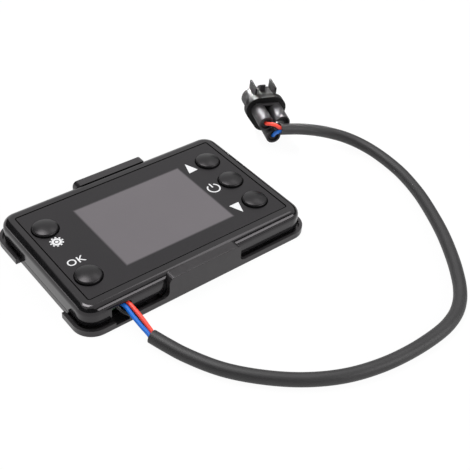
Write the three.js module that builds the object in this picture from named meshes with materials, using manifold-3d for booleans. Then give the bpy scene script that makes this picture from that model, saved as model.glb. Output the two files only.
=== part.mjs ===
// Wired control panel of a diesel air heater: a flat glossy case with a colour screen and five keys,
// snapped into a mounting bracket, with its lead and three-way connector lying beside it.
// Millimetres, +Z up out of the face, +X along the face, +Y towards its top edge.
// The origin is on the surface the bracket rests on, under the middle of the case.

import * as THREE from 'three';
import { mergeVertices } from 'three/addons/utils/BufferGeometryUtils.js';
import Module from 'manifold-3d';

const wasm = await Module();
wasm.setup();

// ---------------------------------------------------------------- driving dimensions

const CLEARANCE = 0.3; // running or fitting gap between neighbouring pieces
const ARC_STEPS = 5; // segments in a quarter of a rounded outline
const ROUND_STEPS = 24; // segments around a key or a tube
const SMALL_STEPS = 12; // segments around a screw or a pin
const PAST = 1; // how far a cutting shape runs past what it cuts

// Case
const CASE_LENGTH = 119.4;
const CASE_WIDTH = 75.8;
const CASE_CORNER = 7.5;
const CASE_DEPTH = 9.4; // front shell, from its lower edge to the face
const CASE_EDGE = 3.9; // rounding between the face and the sides
const CASE_EDGE_STEPS = 5;
const CASE_WALL = 1.8;
const FACE_WALL = 1.4; // face wall left under the overlay
const REAR_FLOOR = 1.5;
const REAR_WALL = 1.3;

// Printed overlay on the face
const OVERLAY_END_BORDER = 5.9; // from the end of the case to the overlay
const OVERLAY_SIDE_BORDER = 6.45;
const OVERLAY_LENGTH = CASE_LENGTH - 2 * OVERLAY_END_BORDER;
const OVERLAY_WIDTH = CASE_WIDTH - 2 * OVERLAY_SIDE_BORDER;
const OVERLAY_CORNER = 0.8;
const OVERLAY_THICKNESS = 0.5;
const OVERLAY_SINK = 0.1; // how far it lies below the rim of the face
const OVERLAY_SHIFT = 0.3; // towards +Y

// Keys, each with the tact switch under it
const KEY_LEFT_INSET = 13.5; // from the end of the case to the middle of a key
const KEY_RIGHT_INSET = 15.3;
const KEY_LEFT_X = KEY_LEFT_INSET - CASE_LENGTH / 2;
const KEY_RIGHT_X = CASE_LENGTH / 2 - KEY_RIGHT_INSET;
const KEY_SIDE_INSET = 19.65; // from the sides of the case to the two left keys
const KEY_LEFT_PITCH = CASE_WIDTH - 2 * KEY_SIDE_INSET;
const KEY_RIGHT_PITCH = 18.4;
const KEY_MIDDLE_Y = -0.45;
const KEY_RADIUS = 5.9;
const KEY_RISE = 2.1; // crown above the face
const KEY_CROWN = 1.1; // height of the domed part
const KEY_TRAVEL = 0.5;
const KEY_FLANGE_RADIUS = 7.4;
const KEY_FLANGE_THICKNESS = 0.6;
const KEY_BOSS_RADIUS = 2.4;
const KEY_DOME_STEPS = 4;
const KEY_HOLE_GAP = 0.45;
const SWITCH_SIDE = 6;
const SWITCH_HEIGHT = 2;
const STEM_RADIUS = 1.75;
const STEM_LENGTH = 1.6;
const STEM_RISE = 0.6; // stem above its switch

// Screen stack, 2.8-inch panel
const PANEL_LEFT_GAP = 3.85; // to the flanges of the keys
const PANEL_RIGHT_GAP = 2.75;
const PANEL_SIDE_GAP = 11.1; // to the inside of the case's side walls
const PANEL_LEFT = KEY_LEFT_X + KEY_FLANGE_RADIUS + PANEL_LEFT_GAP;
const PANEL_RIGHT = KEY_RIGHT_X - KEY_FLANGE_RADIUS - PANEL_RIGHT_GAP;
const PANEL_LENGTH = PANEL_RIGHT - PANEL_LEFT;
const PANEL_WIDTH = CASE_WIDTH - 2 * CASE_WALL - 2 * PANEL_SIDE_GAP;
const SCREEN_X = (PANEL_LEFT + PANEL_RIGHT) / 2;
const SCREEN_Y = -0.35;
const WINDOW_END_BORDER = 4.8; // from the window to the edge of the panel
const WINDOW_SIDE_BORDER = 2.3;
const WINDOW_LENGTH = PANEL_LENGTH - 2 * WINDOW_END_BORDER;
const WINDOW_WIDTH = PANEL_WIDTH - 2 * WINDOW_SIDE_BORDER;
const GLASS_THICKNESS = 1.2;
const BACKLIGHT_THICKNESS = 2;
const GASKET_THICKNESS = 0.6;
const GASKET_BORDER = 3;

// Circuit board
const BOARD_THICKNESS = 1.6;
const BOARD_EDGE_GAP = 0.9; // to the inside of the case walls
const BOARD_POST_INSET_X = 26.7; // from the outside of the case
const BOARD_POST_INSET_Y = 7.5;
const BOARD_POST_X = CASE_LENGTH / 2 - BOARD_POST_INSET_X;
const BOARD_POST_Y = CASE_WIDTH / 2 - BOARD_POST_INSET_Y;
const BOARD_POST_RADIUS = 2.4;

// Screws
const CASE_BOSS_INSET = 7.3; // from the outside of the case
const CASE_BOSS_X = CASE_LENGTH / 2 - CASE_BOSS_INSET;
const CASE_BOSS_Y = CASE_WIDTH / 2 - CASE_BOSS_INSET;
const CASE_BOSS_RADIUS = 3.1;
const REAR_PAD_RADIUS = 4.2;
const CASE_SCREW_RADIUS = 1.2;
const CASE_SCREW_HEAD_RADIUS = 2.5;
const CASE_SCREW_HEAD = 1.2;
const CASE_SCREW_LENGTH = 6.4;
const BOARD_SCREW_RADIUS = 1;
const BOARD_SCREW_HEAD_RADIUS = 1.9;
const BOARD_SCREW_HEAD = 1.1;
const BOARD_SCREW_LENGTH = 4.6;
const RECESS_RADIUS = 0.9; // hexagonal recess in a screw head
const RECESS_DEPTH = 0.6;
const RECESS_SIDES = 6;

// Openings in the side of the case
const EXIT_INSET = 17.4; // from the left end of the case to the middle of the slot
const EXIT_X = EXIT_INSET - CASE_LENGTH / 2;
const EXIT_LENGTH = 9.8;
const EXIT_HEIGHT = 5.9;
const EXIT_CORNER = 1.2;
const PRY_PITCH = 16.8; // from the exit slot
const PRY_X = EXIT_X + PRY_PITCH;
const PRY_LENGTH = 3.6;
const PRY_HEIGHT = 1.7;

// Mounting bracket
const BRACKET_END_MARGIN = 2.3; // past the end of the case
const BRACKET_SIDE_MARGIN = 2.6;
const BRACKET_LENGTH = CASE_LENGTH + 2 * BRACKET_END_MARGIN;
const BRACKET_WIDTH = CASE_WIDTH + 2 * BRACKET_SIDE_MARGIN;
const BRACKET_CORNER_EXTRA = 2; // over the corner of the case
const BRACKET_CORNER = CASE_CORNER + BRACKET_CORNER_EXTRA;
const BASE_THICKNESS = 1.6;
const RIM_HEIGHT = 3.1;
const RIM_WALL = 1.5;
const RELIEF_LENGTH = 40; // stretch of each end that is flush with the case
const RELIEF_Y = -2.5;
const HOOK_LENGTH = 39;
const HOOK_X = 0.4; // far hook; the near one is the same hook turned half round
const HOOK_RISE = 0.15; // lip above the face
const HOOK_REACH = 2; // lip over the case, from the case side
const HOOK_EDGE = 2;
const HOOK_CORNER = 3;
const HOOK_FOOT = 2.5; // hollow rounding down to the low rim
const MOUNT_HOLE_INSET = 17.7; // from the end of the case
const MOUNT_HOLE_X = CASE_LENGTH / 2 - MOUNT_HOLE_INSET;
const MOUNT_HOLE_RADIUS = 2.1;
const MOUNT_SINK_RADIUS = 3.9;
const RIM_NOTCH_SHIFT = 1.2; // from the middle of the exit slot
const RIM_NOTCH_X = EXIT_X - RIM_NOTCH_SHIFT;
const RIM_NOTCH_LENGTH = 6.6;

// Parts on the board
const HEADER_SHIFT = 0.4; // from the middle of the exit slot
const HEADER_X = EXIT_X + HEADER_SHIFT;
const HEADER_INSET = 8.9; // from the outside of the case
const HEADER_Y = HEADER_INSET - CASE_WIDTH / 2;
const HEADER_LENGTH = 9.8;
const HEADER_DEPTH = 4.6;
const HEADER_HEIGHT = 3.5;
const HEADER_WALL = 0.8;
const PLUG_LENGTH = 7.4;
const PLUG_DEPTH = 5.4;
const PLUG_HEIGHT = 1.9;
const PLUG_PITCH = 2.3;
const CHIP_HEIGHT = 1.4; // of the plain parts under the board
const PROCESSOR_SIDE = 10;
const PROCESSOR_HEIGHT = 1.4;
const PROCESSOR_X = -8;
const PROCESSOR_Y = 4;
const PIN_COUNT = 5; // along each side of the processor
const PIN_PITCH = 1.8;
const PIN_WIDTH = 0.5;
const PIN_REACH = 1; // out from the casing
const PIN_LENGTH = 1.5; // in all, with the half that is inside
const PIN_HEIGHT = 0.4;
const FLEX_LENGTH = 18;
const FLEX_THICKNESS = 0.3;
const FLEX_DROP_Y = 3.2; // how far the flex reaches past the panel
const FLEX_SOCKET_LENGTH = 21;
const FLEX_SOCKET_DEPTH = 3;
const FLEX_SOCKET_HEIGHT = 1.2;

// Lead: three insulated wires, then one sleeve round all of them
const WIRE_RADIUS = 0.95;
const WIRE_SIDES = 8;
const SLEEVE_RADIUS = 3;
const SLEEVE_SIDES = 8;
const SLEEVE_STEPS = 28;
const LEAD_STEPS = 7;
const TAIL_STEPS = 10;

// Connector, in its own frame: +Y the mating direction, Z up from the surface, the flange at Y = 0
const PLUG_FROM_EXIT_X = 140.85; // from the middle of the exit slot
const PLUG_FROM_EXIT_Y = 75.43;
const PLUG_LIFT = 0.1; // foot above the surface, so that the rolled housing lies on it
const PLUG_TURN = 21.7; // degrees from +Y towards +X
const PLUG_ROLL = 3; // degrees
const SHELL_TOP_RADIUS = 7.4;
const SHELL_TOP_HALF = 3.8; // half the distance between the upper corner centres
const SHELL_TOP_HEIGHT = 13.5;
const SHELL_FOOT_RADIUS = 6.3;
const FLANGE_THICKNESS = 4;
const FLANGE_OVERHANG = 1.5;
const FLANGE_POCKET = 1.8;
const SHROUD_LENGTH = 9.7;
const SHROUD_WALL = 1.4;
const TUBE_RADIUS = 4;
const TUBE_WALL = 1;
const TUBE_PITCH = 9.2;
const TUBE_DROP = 7.4;
const TUBE_LENGTH = 14.2;
const LOW_TUBE_EXTRA = 1.1;
const FIN_HALF_PITCH = 5.5;
const FIN_THICKNESS = 1;
const FIN_HEIGHT = 4.7;
const LATCH_START = 8.6; // the upright face of the locking wedge, in front of the flange's rear
const LATCH_WIDTH = 2.6;
const LATCH_HEIGHT = 3.9;
const LATCH_NOSE = 0.8;
const PLATE_LENGTH = 2;
const PLATE_THICKNESS = 0.8;
const SEAL_LENGTH = 5;
const SEAL_DEPTH = 1; // how far a seal lies inside its tube
const CONTACT_RADIUS = 1;
const CONTACT_REACH = 7;

// ---------------------------------------------------------------- levels and places worked out from them

const rearBottom = BASE_THICKNESS + CLEARANCE;
const rearInside = rearBottom + REAR_FLOOR;
const caseBottom = RIM_HEIGHT + CLEARANCE;
const faceTop = caseBottom + CASE_DEPTH;
const overlayTop = faceTop - OVERLAY_SINK;
const overlayBottom = overlayTop - OVERLAY_THICKNESS;
const faceInside = overlayBottom - FACE_WALL;
const gasketBottom = faceInside - GASKET_THICKNESS;
const glassBottom = gasketBottom - GLASS_THICKNESS;
const boardTop = glassBottom - BACKLIGHT_THICKNESS;
const boardBottom = boardTop - BOARD_THICKNESS;
const rearWallTop = boardBottom - CLEARANCE;
const flangeTop = faceInside - CLEARANCE;
const flangeBottom = flangeTop - KEY_FLANGE_THICKNESS;
const stemTop = boardTop + SWITCH_HEIGHT + STEM_RISE;
const stemBottom = stemTop - STEM_LENGTH;
const keyHoleRadius = KEY_RADIUS + KEY_HOLE_GAP;
const insideLength = CASE_LENGTH - 2 * CASE_WALL;
const insideWidth = CASE_WIDTH - 2 * CASE_WALL;
const insideCorner = CASE_CORNER - CASE_WALL;
const rearLength = insideLength - 2 * CLEARANCE;
const rearWidth = insideWidth - 2 * CLEARANCE;
const rearCorner = insideCorner - CLEARANCE;
const panelBottomEdge = SCREEN_Y - PANEL_WIDTH / 2;

const keyPlaces = {
  menu: [KEY_LEFT_X, KEY_MIDDLE_Y + KEY_LEFT_PITCH / 2],
  ok: [KEY_LEFT_X, KEY_MIDDLE_Y - KEY_LEFT_PITCH / 2],
  up: [KEY_RIGHT_X, KEY_MIDDLE_Y + KEY_RIGHT_PITCH],
  power: [KEY_RIGHT_X, KEY_MIDDLE_Y],
  down: [KEY_RIGHT_X, KEY_MIDDLE_Y - KEY_RIGHT_PITCH],
};

const caseScrewPlaces = fourCorners(CASE_BOSS_X, CASE_BOSS_Y);
const boardScrewPlaces = fourCorners(BOARD_POST_X, BOARD_POST_Y);

// ---------------------------------------------------------------- shared shapes

function fourCorners(x, y) {
  return { left_top: [-x, y], right_top: [x, y], left_bottom: [-x, -y], right_bottom: [x, -y] };
}

// A rectangle with round corners, as an outline about (x, y).
function roundedRectangle(length, width, radius, x = 0, y = 0) {
  const [right, top] = [length / 2 - radius, width / 2 - radius];
  const quarter = Math.PI / 2;
  const shape = new THREE.Shape();
  shape.absarc(x + right, y + top, radius, 0, quarter);
  shape.absarc(x - right, y + top, radius, quarter, 2 * quarter);
  shape.absarc(x - right, y - top, radius, 2 * quarter, 3 * quarter);
  shape.absarc(x + right, y - top, radius, 3 * quarter, 4 * quarter);
  shape.closePath();
  return shape;
}

// An upright prism of an outline between two levels.
function prism(shape, bottom, top) {
  const options = { depth: top - bottom, bevelEnabled: false, curveSegments: ARC_STEPS };
  return new THREE.ExtrudeGeometry(shape, options).translate(0, 0, bottom);
}

function block(x, y, length, width, bottom, top) {
  const geometry = new THREE.BoxGeometry(length, width, top - bottom);
  return geometry.translate(x, y, (bottom + top) / 2);
}

function cylinder(x, y, radius, bottom, top, steps = SMALL_STEPS) {
  const geometry = new THREE.CylinderGeometry(radius, radius, top - bottom, steps);
  return geometry.rotateX(Math.PI / 2).translate(x, y, (bottom + top) / 2);
}

// A cylinder lying along Y, between two places on Y.
function lyingCylinder(x, z, radius, from, to, steps = ROUND_STEPS) {
  const geometry = new THREE.CylinderGeometry(radius, radius, to - from, steps);
  return geometry.translate(x, (from + to) / 2, z);
}

// Joins and cuts closed shapes: first the shapes to join, then the shapes to take away.
function carve(joined, removed = []) {
  let body = asSolid(joined[0]);
  for (const shape of joined.slice(1)) body = body.add(asSolid(shape));
  for (const shape of removed) body = body.subtract(asSolid(shape));
  return asGeometry(body);
}

function asSolid(shape) {
  const bare = shape.index ? shape.toNonIndexed() : shape.clone();
  for (const name of Object.keys(bare.attributes)) {
    if (name !== 'position') bare.deleteAttribute(name);
  }
  const merged = mergeVertices(bare, 1e-4);
  const vertProperties = merged.attributes.position.array;
  const triVerts = new Uint32Array(merged.index.array);
  return new wasm.Manifold(new wasm.Mesh({ numProp: 3, vertProperties, triVerts }));
}

function asGeometry(body) {
  const mesh = body.getMesh();
  const geometry = new THREE.BufferGeometry();
  geometry.setAttribute('position', new THREE.BufferAttribute(mesh.vertProperties, 3));
  geometry.setIndex(new THREE.BufferAttribute(mesh.triVerts, 1));
  geometry.computeVertexNormals();
  return geometry;
}

// A shape drawn in (Y, Z) and extruded along X about a middle.
function alongX(shape, length, middle) {
  const options = { depth: length, bevelEnabled: false, curveSegments: ARC_STEPS };
  const bar = new THREE.ExtrudeGeometry(shape, options).translate(0, 0, middle - length / 2);
  return bar.rotateX(Math.PI / 2).rotateZ(Math.PI / 2);
}

// A shape drawn in (X, Z) and extruded along Y, from one place to another.
function alongY(shape, from, to) {
  const options = { depth: to - from, bevelEnabled: false, curveSegments: ARC_STEPS };
  return new THREE.ExtrudeGeometry(shape, options).rotateX(Math.PI / 2).translate(0, to, 0);
}

// ---------------------------------------------------------------- case

// The whole case as one rounded block, open at nothing: the shells are cut from it.
function roundedCaseBlock() {
  const [length, width] = [CASE_LENGTH - 2 * CASE_EDGE, CASE_WIDTH - 2 * CASE_EDGE];
  const flat = roundedRectangle(length, width, CASE_CORNER - CASE_EDGE);
  const options = {
    depth: CASE_DEPTH,
    bevelSize: CASE_EDGE,
    bevelThickness: CASE_EDGE,
    bevelSegments: CASE_EDGE_STEPS,
    curveSegments: ARC_STEPS,
  };
  return new THREE.ExtrudeGeometry(flat, options).translate(0, 0, faceTop - CASE_EDGE - CASE_DEPTH);
}

function keyHoles(bottom, top) {
  return Object.values(keyPlaces).map(([x, y]) => cylinder(x, y, keyHoleRadius, bottom, top, ROUND_STEPS));
}

// The slot in the lower edge of the side wall that the wires leave by.
function exitSlot() {
  const sunk = caseBottom - EXIT_HEIGHT;
  const shape = roundedRectangle(EXIT_LENGTH, 2 * EXIT_HEIGHT, EXIT_CORNER, EXIT_X, sunk + EXIT_HEIGHT);
  return alongY(shape, -CASE_WIDTH / 2 - CASE_WALL, -CASE_WIDTH / 2 + 2 * CASE_WALL);
}

function frontShell() {
  const below = caseBottom - 2 * CASE_DEPTH;
  const hollow = prism(roundedRectangle(insideLength, insideWidth, insideCorner), below, faceInside);
  const window = roundedRectangle(WINDOW_LENGTH, WINDOW_WIDTH, OVERLAY_CORNER, SCREEN_X, SCREEN_Y);
  const outside = carve([roundedCaseBlock()], [
    block(0, 0, 2 * CASE_LENGTH, 2 * CASE_WIDTH, below, caseBottom),
    hollow,
    prism(overlayOutline(CLEARANCE), overlayBottom, faceTop + CASE_WALL),
    prism(window, faceInside - PAST, faceTop),
    ...keyHoles(faceInside - PAST, faceTop),
    exitSlot(),
    block(PRY_X, -CASE_WIDTH / 2, PRY_LENGTH, 4 * CASE_WALL, below, caseBottom + PRY_HEIGHT),
  ]);
  const bosses = Object.values(caseScrewPlaces).map(([x, y]) =>
    cylinder(x, y, CASE_BOSS_RADIUS, rearWallTop, overlayBottom - FACE_WALL / 2));
  const posts = Object.values(boardScrewPlaces).map(([x, y]) =>
    cylinder(x, y, BOARD_POST_RADIUS, boardTop, overlayBottom - FACE_WALL / 2));
  const bossHoles = Object.values(caseScrewPlaces).map(([x, y]) =>
    cylinder(x, y, CASE_SCREW_RADIUS + CLEARANCE, below, faceInside));
  const postHoles = Object.values(boardScrewPlaces).map(([x, y]) =>
    cylinder(x, y, BOARD_SCREW_RADIUS + CLEARANCE, below, faceInside));
  return carve([outside, ...bosses, ...posts], [...bossHoles, ...postHoles]);
}

function overlayOutline(grow) {
  const [length, width] = [OVERLAY_LENGTH + 2 * grow, OVERLAY_WIDTH + 2 * grow];
  return roundedRectangle(length, width, OVERLAY_CORNER + grow, 0, OVERLAY_SHIFT);
}

function faceOverlay() {
  const sheet = prism(overlayOutline(0), overlayBottom, overlayTop);
  return carve([sheet], keyHoles(overlayBottom - PAST, overlayTop + PAST));
}

function rearShell() {
  const floor = prism(roundedRectangle(rearLength, rearWidth, rearCorner), rearBottom, rearWallTop);
  const [length, width] = [rearLength - 2 * REAR_WALL, rearWidth - 2 * REAR_WALL];
  const inner = roundedRectangle(length, width, rearCorner - REAR_WALL);
  const tray = carve([floor], [prism(inner, rearInside, rearWallTop + PAST)]);
  const pads = Object.values(caseScrewPlaces).map(([x, y]) =>
    cylinder(x, y, REAR_PAD_RADIUS, rearInside - REAR_FLOOR / 2, rearWallTop));
  const clear = Object.values(caseScrewPlaces).map(([x, y]) =>
    cylinder(x, y, CASE_SCREW_RADIUS + CLEARANCE, rearBottom - PAST, rearWallTop + PAST));
  const seatTop = rearBottom + CASE_SCREW_HEAD + CLEARANCE;
  const seats = Object.values(caseScrewPlaces).map(([x, y]) =>
    cylinder(x, y, CASE_SCREW_HEAD_RADIUS + CLEARANCE, rearBottom - PAST, seatTop));
  const wireGap = block(EXIT_X, -rearWidth / 2, EXIT_LENGTH, 4 * REAR_WALL, rearInside, rearWallTop + PAST);
  return carve([tray, ...pads], [...clear, ...seats, wireGap]);
}

// ---------------------------------------------------------------- screen

function screenLayer(bottom, top, shrink = 0) {
  return block(SCREEN_X, SCREEN_Y, PANEL_LENGTH - 2 * shrink, PANEL_WIDTH - 2 * shrink, bottom, top);
}

function screenGasket() {
  const frame = screenLayer(gasketBottom, faceInside);
  return carve([frame], [screenLayer(gasketBottom - PAST, faceInside + PAST, GASKET_BORDER)]);
}

// The ribbon that leaves the glass, drops past the backlight and lies on the board up to its socket.
function screenFlex() {
  const edge = panelBottomEdge - CLEARANCE;
  const level = (glassBottom + gasketBottom) / 2;
  const shape = new THREE.Shape();
  shape.moveTo(edge, level);
  shape.lineTo(edge - FLEX_DROP_Y / 2, level - CLEARANCE);
  shape.lineTo(edge - FLEX_DROP_Y, boardTop + FLEX_SOCKET_HEIGHT / 2);
  shape.lineTo(edge - FLEX_DROP_Y + FLEX_THICKNESS, boardTop + FLEX_SOCKET_HEIGHT / 2);
  shape.lineTo(edge - FLEX_DROP_Y / 2 + FLEX_THICKNESS, level - CLEARANCE - FLEX_THICKNESS);
  shape.lineTo(edge, level - FLEX_THICKNESS);
  shape.closePath();
  return alongX(shape, FLEX_LENGTH, SCREEN_X);
}

function flexSocket() {
  const y = panelBottomEdge - FLEX_DROP_Y - 2 * CLEARANCE - FLEX_SOCKET_DEPTH / 2;
  return block(SCREEN_X, y, FLEX_SOCKET_LENGTH, FLEX_SOCKET_DEPTH, boardTop, boardTop + FLEX_SOCKET_HEIGHT);
}

// ---------------------------------------------------------------- keys and switches

// Half section of a key from its crown down to the boss that meets the switch stem.
function key() {
  const crown = faceTop + KEY_RISE;
  const shoulder = crown - KEY_CROWN;
  const dome = (KEY_RADIUS ** 2 + KEY_CROWN ** 2) / (2 * KEY_CROWN);
  const reach = Math.asin(KEY_RADIUS / dome);
  const profile = [];
  for (let step = 0; step <= KEY_DOME_STEPS; step += 1) {
    const angle = (reach * step) / KEY_DOME_STEPS;
    const level = shoulder + dome * (Math.cos(angle) - Math.cos(reach));
    profile.push(new THREE.Vector2(dome * Math.sin(angle), level));
  }
  profile.push(new THREE.Vector2(KEY_RADIUS, flangeTop));
  profile.push(new THREE.Vector2(KEY_FLANGE_RADIUS, flangeTop));
  profile.push(new THREE.Vector2(KEY_FLANGE_RADIUS, flangeBottom));
  profile.push(new THREE.Vector2(KEY_BOSS_RADIUS, flangeBottom));
  profile.push(new THREE.Vector2(KEY_BOSS_RADIUS, stemTop));
  profile.push(new THREE.Vector2(0, stemTop));
  return new THREE.LatheGeometry(profile.reverse(), ROUND_STEPS).rotateX(Math.PI / 2);
}

// The fixed part of a tact switch, with the bore that its stem sinks into.
function switchBody() {
  const bore = cylinder(0, 0, STEM_RADIUS + CLEARANCE, stemBottom - KEY_TRAVEL - CLEARANCE / 2, stemTop);
  return carve([block(0, 0, SWITCH_SIDE, SWITCH_SIDE, boardTop, boardTop + SWITCH_HEIGHT)], [bore]);
}

function switchStem() {
  return cylinder(0, 0, STEM_RADIUS, stemBottom, stemTop);
}

// ---------------------------------------------------------------- circuit board and its parts

function circuitBoard() {
  const [length, width] = [insideLength - 2 * BOARD_EDGE_GAP, insideWidth - 2 * BOARD_EDGE_GAP];
  const plate = prism(roundedRectangle(length, width, insideCorner - BOARD_EDGE_GAP), boardBottom, boardTop);
  const cornerCuts = Object.values(caseScrewPlaces).map(([x, y]) =>
    cylinder(x, y, CASE_BOSS_RADIUS + 2 * CLEARANCE, boardBottom - PAST, boardTop + PAST));
  const holes = Object.values(boardScrewPlaces).map(([x, y]) =>
    cylinder(x, y, BOARD_SCREW_RADIUS + CLEARANCE, boardBottom - PAST, boardTop + PAST));
  return carve([plate], [...cornerCuts, ...holes]);
}

// A flat package with a row of flat pins on each side, hanging under the board by its pins.
function processor() {
  const [low, high] = [boardBottom - PROCESSOR_HEIGHT, boardBottom - PIN_HEIGHT / 2];
  const casing = block(0, 0, PROCESSOR_SIDE, PROCESSOR_SIDE, low, high);
  const joined = [casing];
  const middle = PROCESSOR_SIDE / 2 + PIN_REACH - PIN_LENGTH / 2;
  for (let index = 0; index < PIN_COUNT; index += 1) {
    const offset = (index - (PIN_COUNT - 1) / 2) * PIN_PITCH;
    for (const side of [-middle, middle]) {
      joined.push(block(offset, side, PIN_WIDTH, PIN_LENGTH, boardBottom - PIN_HEIGHT, boardBottom));
      joined.push(block(side, offset, PIN_LENGTH, PIN_WIDTH, boardBottom - PIN_HEIGHT, boardBottom));
    }
  }
  return carve(joined).translate(PROCESSOR_X, PROCESSOR_Y, 0);
}

// Plain block-shaped parts soldered under the board: the logic stands round the processor, and the
// power parts near the header. Each has its place from there, and its length and width.
const underBoardParts = {
  memory_chip: { from: [PROCESSOR_X, PROCESSOR_Y], place: [20, 0], size: [5, 4], finish: 'chip' },
  clock_crystal: { from: [PROCESSOR_X, PROCESSOR_Y], place: [0, -12], size: [5, 3.2], finish: 'steel' },
  voltage_regulator: { from: [HEADER_X, HEADER_Y], place: [12, 11], size: [6.5, 3.6], finish: 'chip' },
  protection_diode: { from: [HEADER_X, HEADER_Y], place: [4, 5], size: [4.4, 2.6], finish: 'chip' },
  input_capacitor: { from: [HEADER_X, HEADER_Y], place: [12, 3], size: [7.2, 4.2], finish: 'polyimide' },
  output_capacitor: { from: [HEADER_X, HEADER_Y], place: [21, 11], size: [3.2, 2.6], finish: 'polyimide' },
};

function underBoard({ from, place: [x, y], size: [length, width] }) {
  return block(from[0] + x, from[1] + y, length, width, boardBottom - CHIP_HEIGHT, boardBottom);
}

function headerMiddle() {
  return boardTop + HEADER_HEIGHT / 2;
}

function boardHeader() {
  const shell = block(HEADER_X, HEADER_Y, HEADER_LENGTH, HEADER_DEPTH, boardTop, boardTop + HEADER_HEIGHT);
  const cavityY = HEADER_Y - HEADER_WALL;
  const [length, height] = [PLUG_LENGTH + 2 * CLEARANCE, PLUG_HEIGHT + 2 * CLEARANCE];
  const [low, high] = [headerMiddle() - height / 2, headerMiddle() + height / 2];
  return carve([shell], [block(HEADER_X, cavityY, length, HEADER_DEPTH, low, high)]);
}

function plugRearY() {
  return HEADER_Y + HEADER_DEPTH / 2 - HEADER_WALL - CLEARANCE - PLUG_DEPTH;
}

function boardPlug() {
  const [low, high] = [headerMiddle() - PLUG_HEIGHT / 2, headerMiddle() + PLUG_HEIGHT / 2];
  return block(HEADER_X, plugRearY() + PLUG_DEPTH / 2, PLUG_LENGTH, PLUG_DEPTH, low, high);
}

// ---------------------------------------------------------------- screws

// A pan-head screw standing head down, with a hexagonal recess in its head.
function screw(headRadius, headHeight, radius, length, bottom) {
  const neck = bottom + headHeight;
  const head = cylinder(0, 0, headRadius, bottom, neck);
  const shank = cylinder(0, 0, radius, neck - headHeight / 2, neck + length);
  const recess = cylinder(0, 0, RECESS_RADIUS, bottom - PAST, bottom + RECESS_DEPTH, RECESS_SIDES);
  return carve([head, shank], [recess]);
}

function caseScrew() {
  const bottom = rearBottom + CLEARANCE;
  return screw(CASE_SCREW_HEAD_RADIUS, CASE_SCREW_HEAD, CASE_SCREW_RADIUS, CASE_SCREW_LENGTH, bottom);
}

function boardScrew() {
  const bottom = boardBottom - BOARD_SCREW_HEAD;
  return screw(BOARD_SCREW_HEAD_RADIUS, BOARD_SCREW_HEAD, BOARD_SCREW_RADIUS, BOARD_SCREW_LENGTH, bottom);
}

// ---------------------------------------------------------------- mounting bracket

// Section of one snap hook in (Y, Z), on the +Y side: its lip follows the rounded edge of the case.
function hookSection() {
  const [inside, outside] = [CASE_WIDTH / 2 + CLEARANCE, BRACKET_WIDTH / 2];
  const top = faceTop + HOOK_RISE;
  const edgeY = CASE_WIDTH / 2 - CASE_EDGE;
  const edgeZ = faceTop - CASE_EDGE;
  const under = CASE_EDGE + CLEARANCE;
  const tipY = CASE_WIDTH / 2 - HOOK_REACH;
  const tipAngle = Math.acos((tipY - edgeY) / under);
  const shape = new THREE.Shape();
  shape.moveTo(inside, 0);
  shape.lineTo(outside, 0);
  shape.lineTo(outside, top - HOOK_EDGE);
  shape.absarc(outside - HOOK_EDGE, top - HOOK_EDGE, HOOK_EDGE, 0, Math.PI / 2);
  shape.lineTo(tipY, top);
  shape.lineTo(tipY, edgeZ + under * Math.sin(tipAngle));
  shape.absarc(edgeY, edgeZ, under, tipAngle, 0, true);
  shape.closePath();
  return shape;
}

// Side view of the hook in (X, Z): round upper corners and hollow feet that run out into the low rim.
function hookSideView() {
  const [half, top] = [HOOK_LENGTH / 2, faceTop + HOOK_RISE];
  const foot = half + HOOK_FOOT;
  const level = RIM_HEIGHT;
  const shape = new THREE.Shape();
  shape.moveTo(-foot, 0);
  shape.lineTo(foot, 0);
  shape.lineTo(foot, level);
  shape.absarc(foot, level + HOOK_FOOT, HOOK_FOOT, 1.5 * Math.PI, Math.PI, true);
  shape.lineTo(half, top - HOOK_CORNER);
  shape.absarc(half - HOOK_CORNER, top - HOOK_CORNER, HOOK_CORNER, 0, Math.PI / 2);
  shape.absarc(HOOK_CORNER - half, top - HOOK_CORNER, HOOK_CORNER, Math.PI / 2, Math.PI);
  shape.lineTo(-half, level + HOOK_FOOT);
  shape.absarc(-foot, level + HOOK_FOOT, HOOK_FOOT, 0, -Math.PI / 2, true);
  shape.closePath();
  return shape;
}

function hook() {
  const bar = asSolid(alongX(hookSection(), HOOK_LENGTH + 4 * HOOK_FOOT, 0));
  const view = asSolid(alongY(hookSideView(), 0, BRACKET_WIDTH));
  return asGeometry(bar.intersect(view)).translate(HOOK_X, 0, 0);
}

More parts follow.
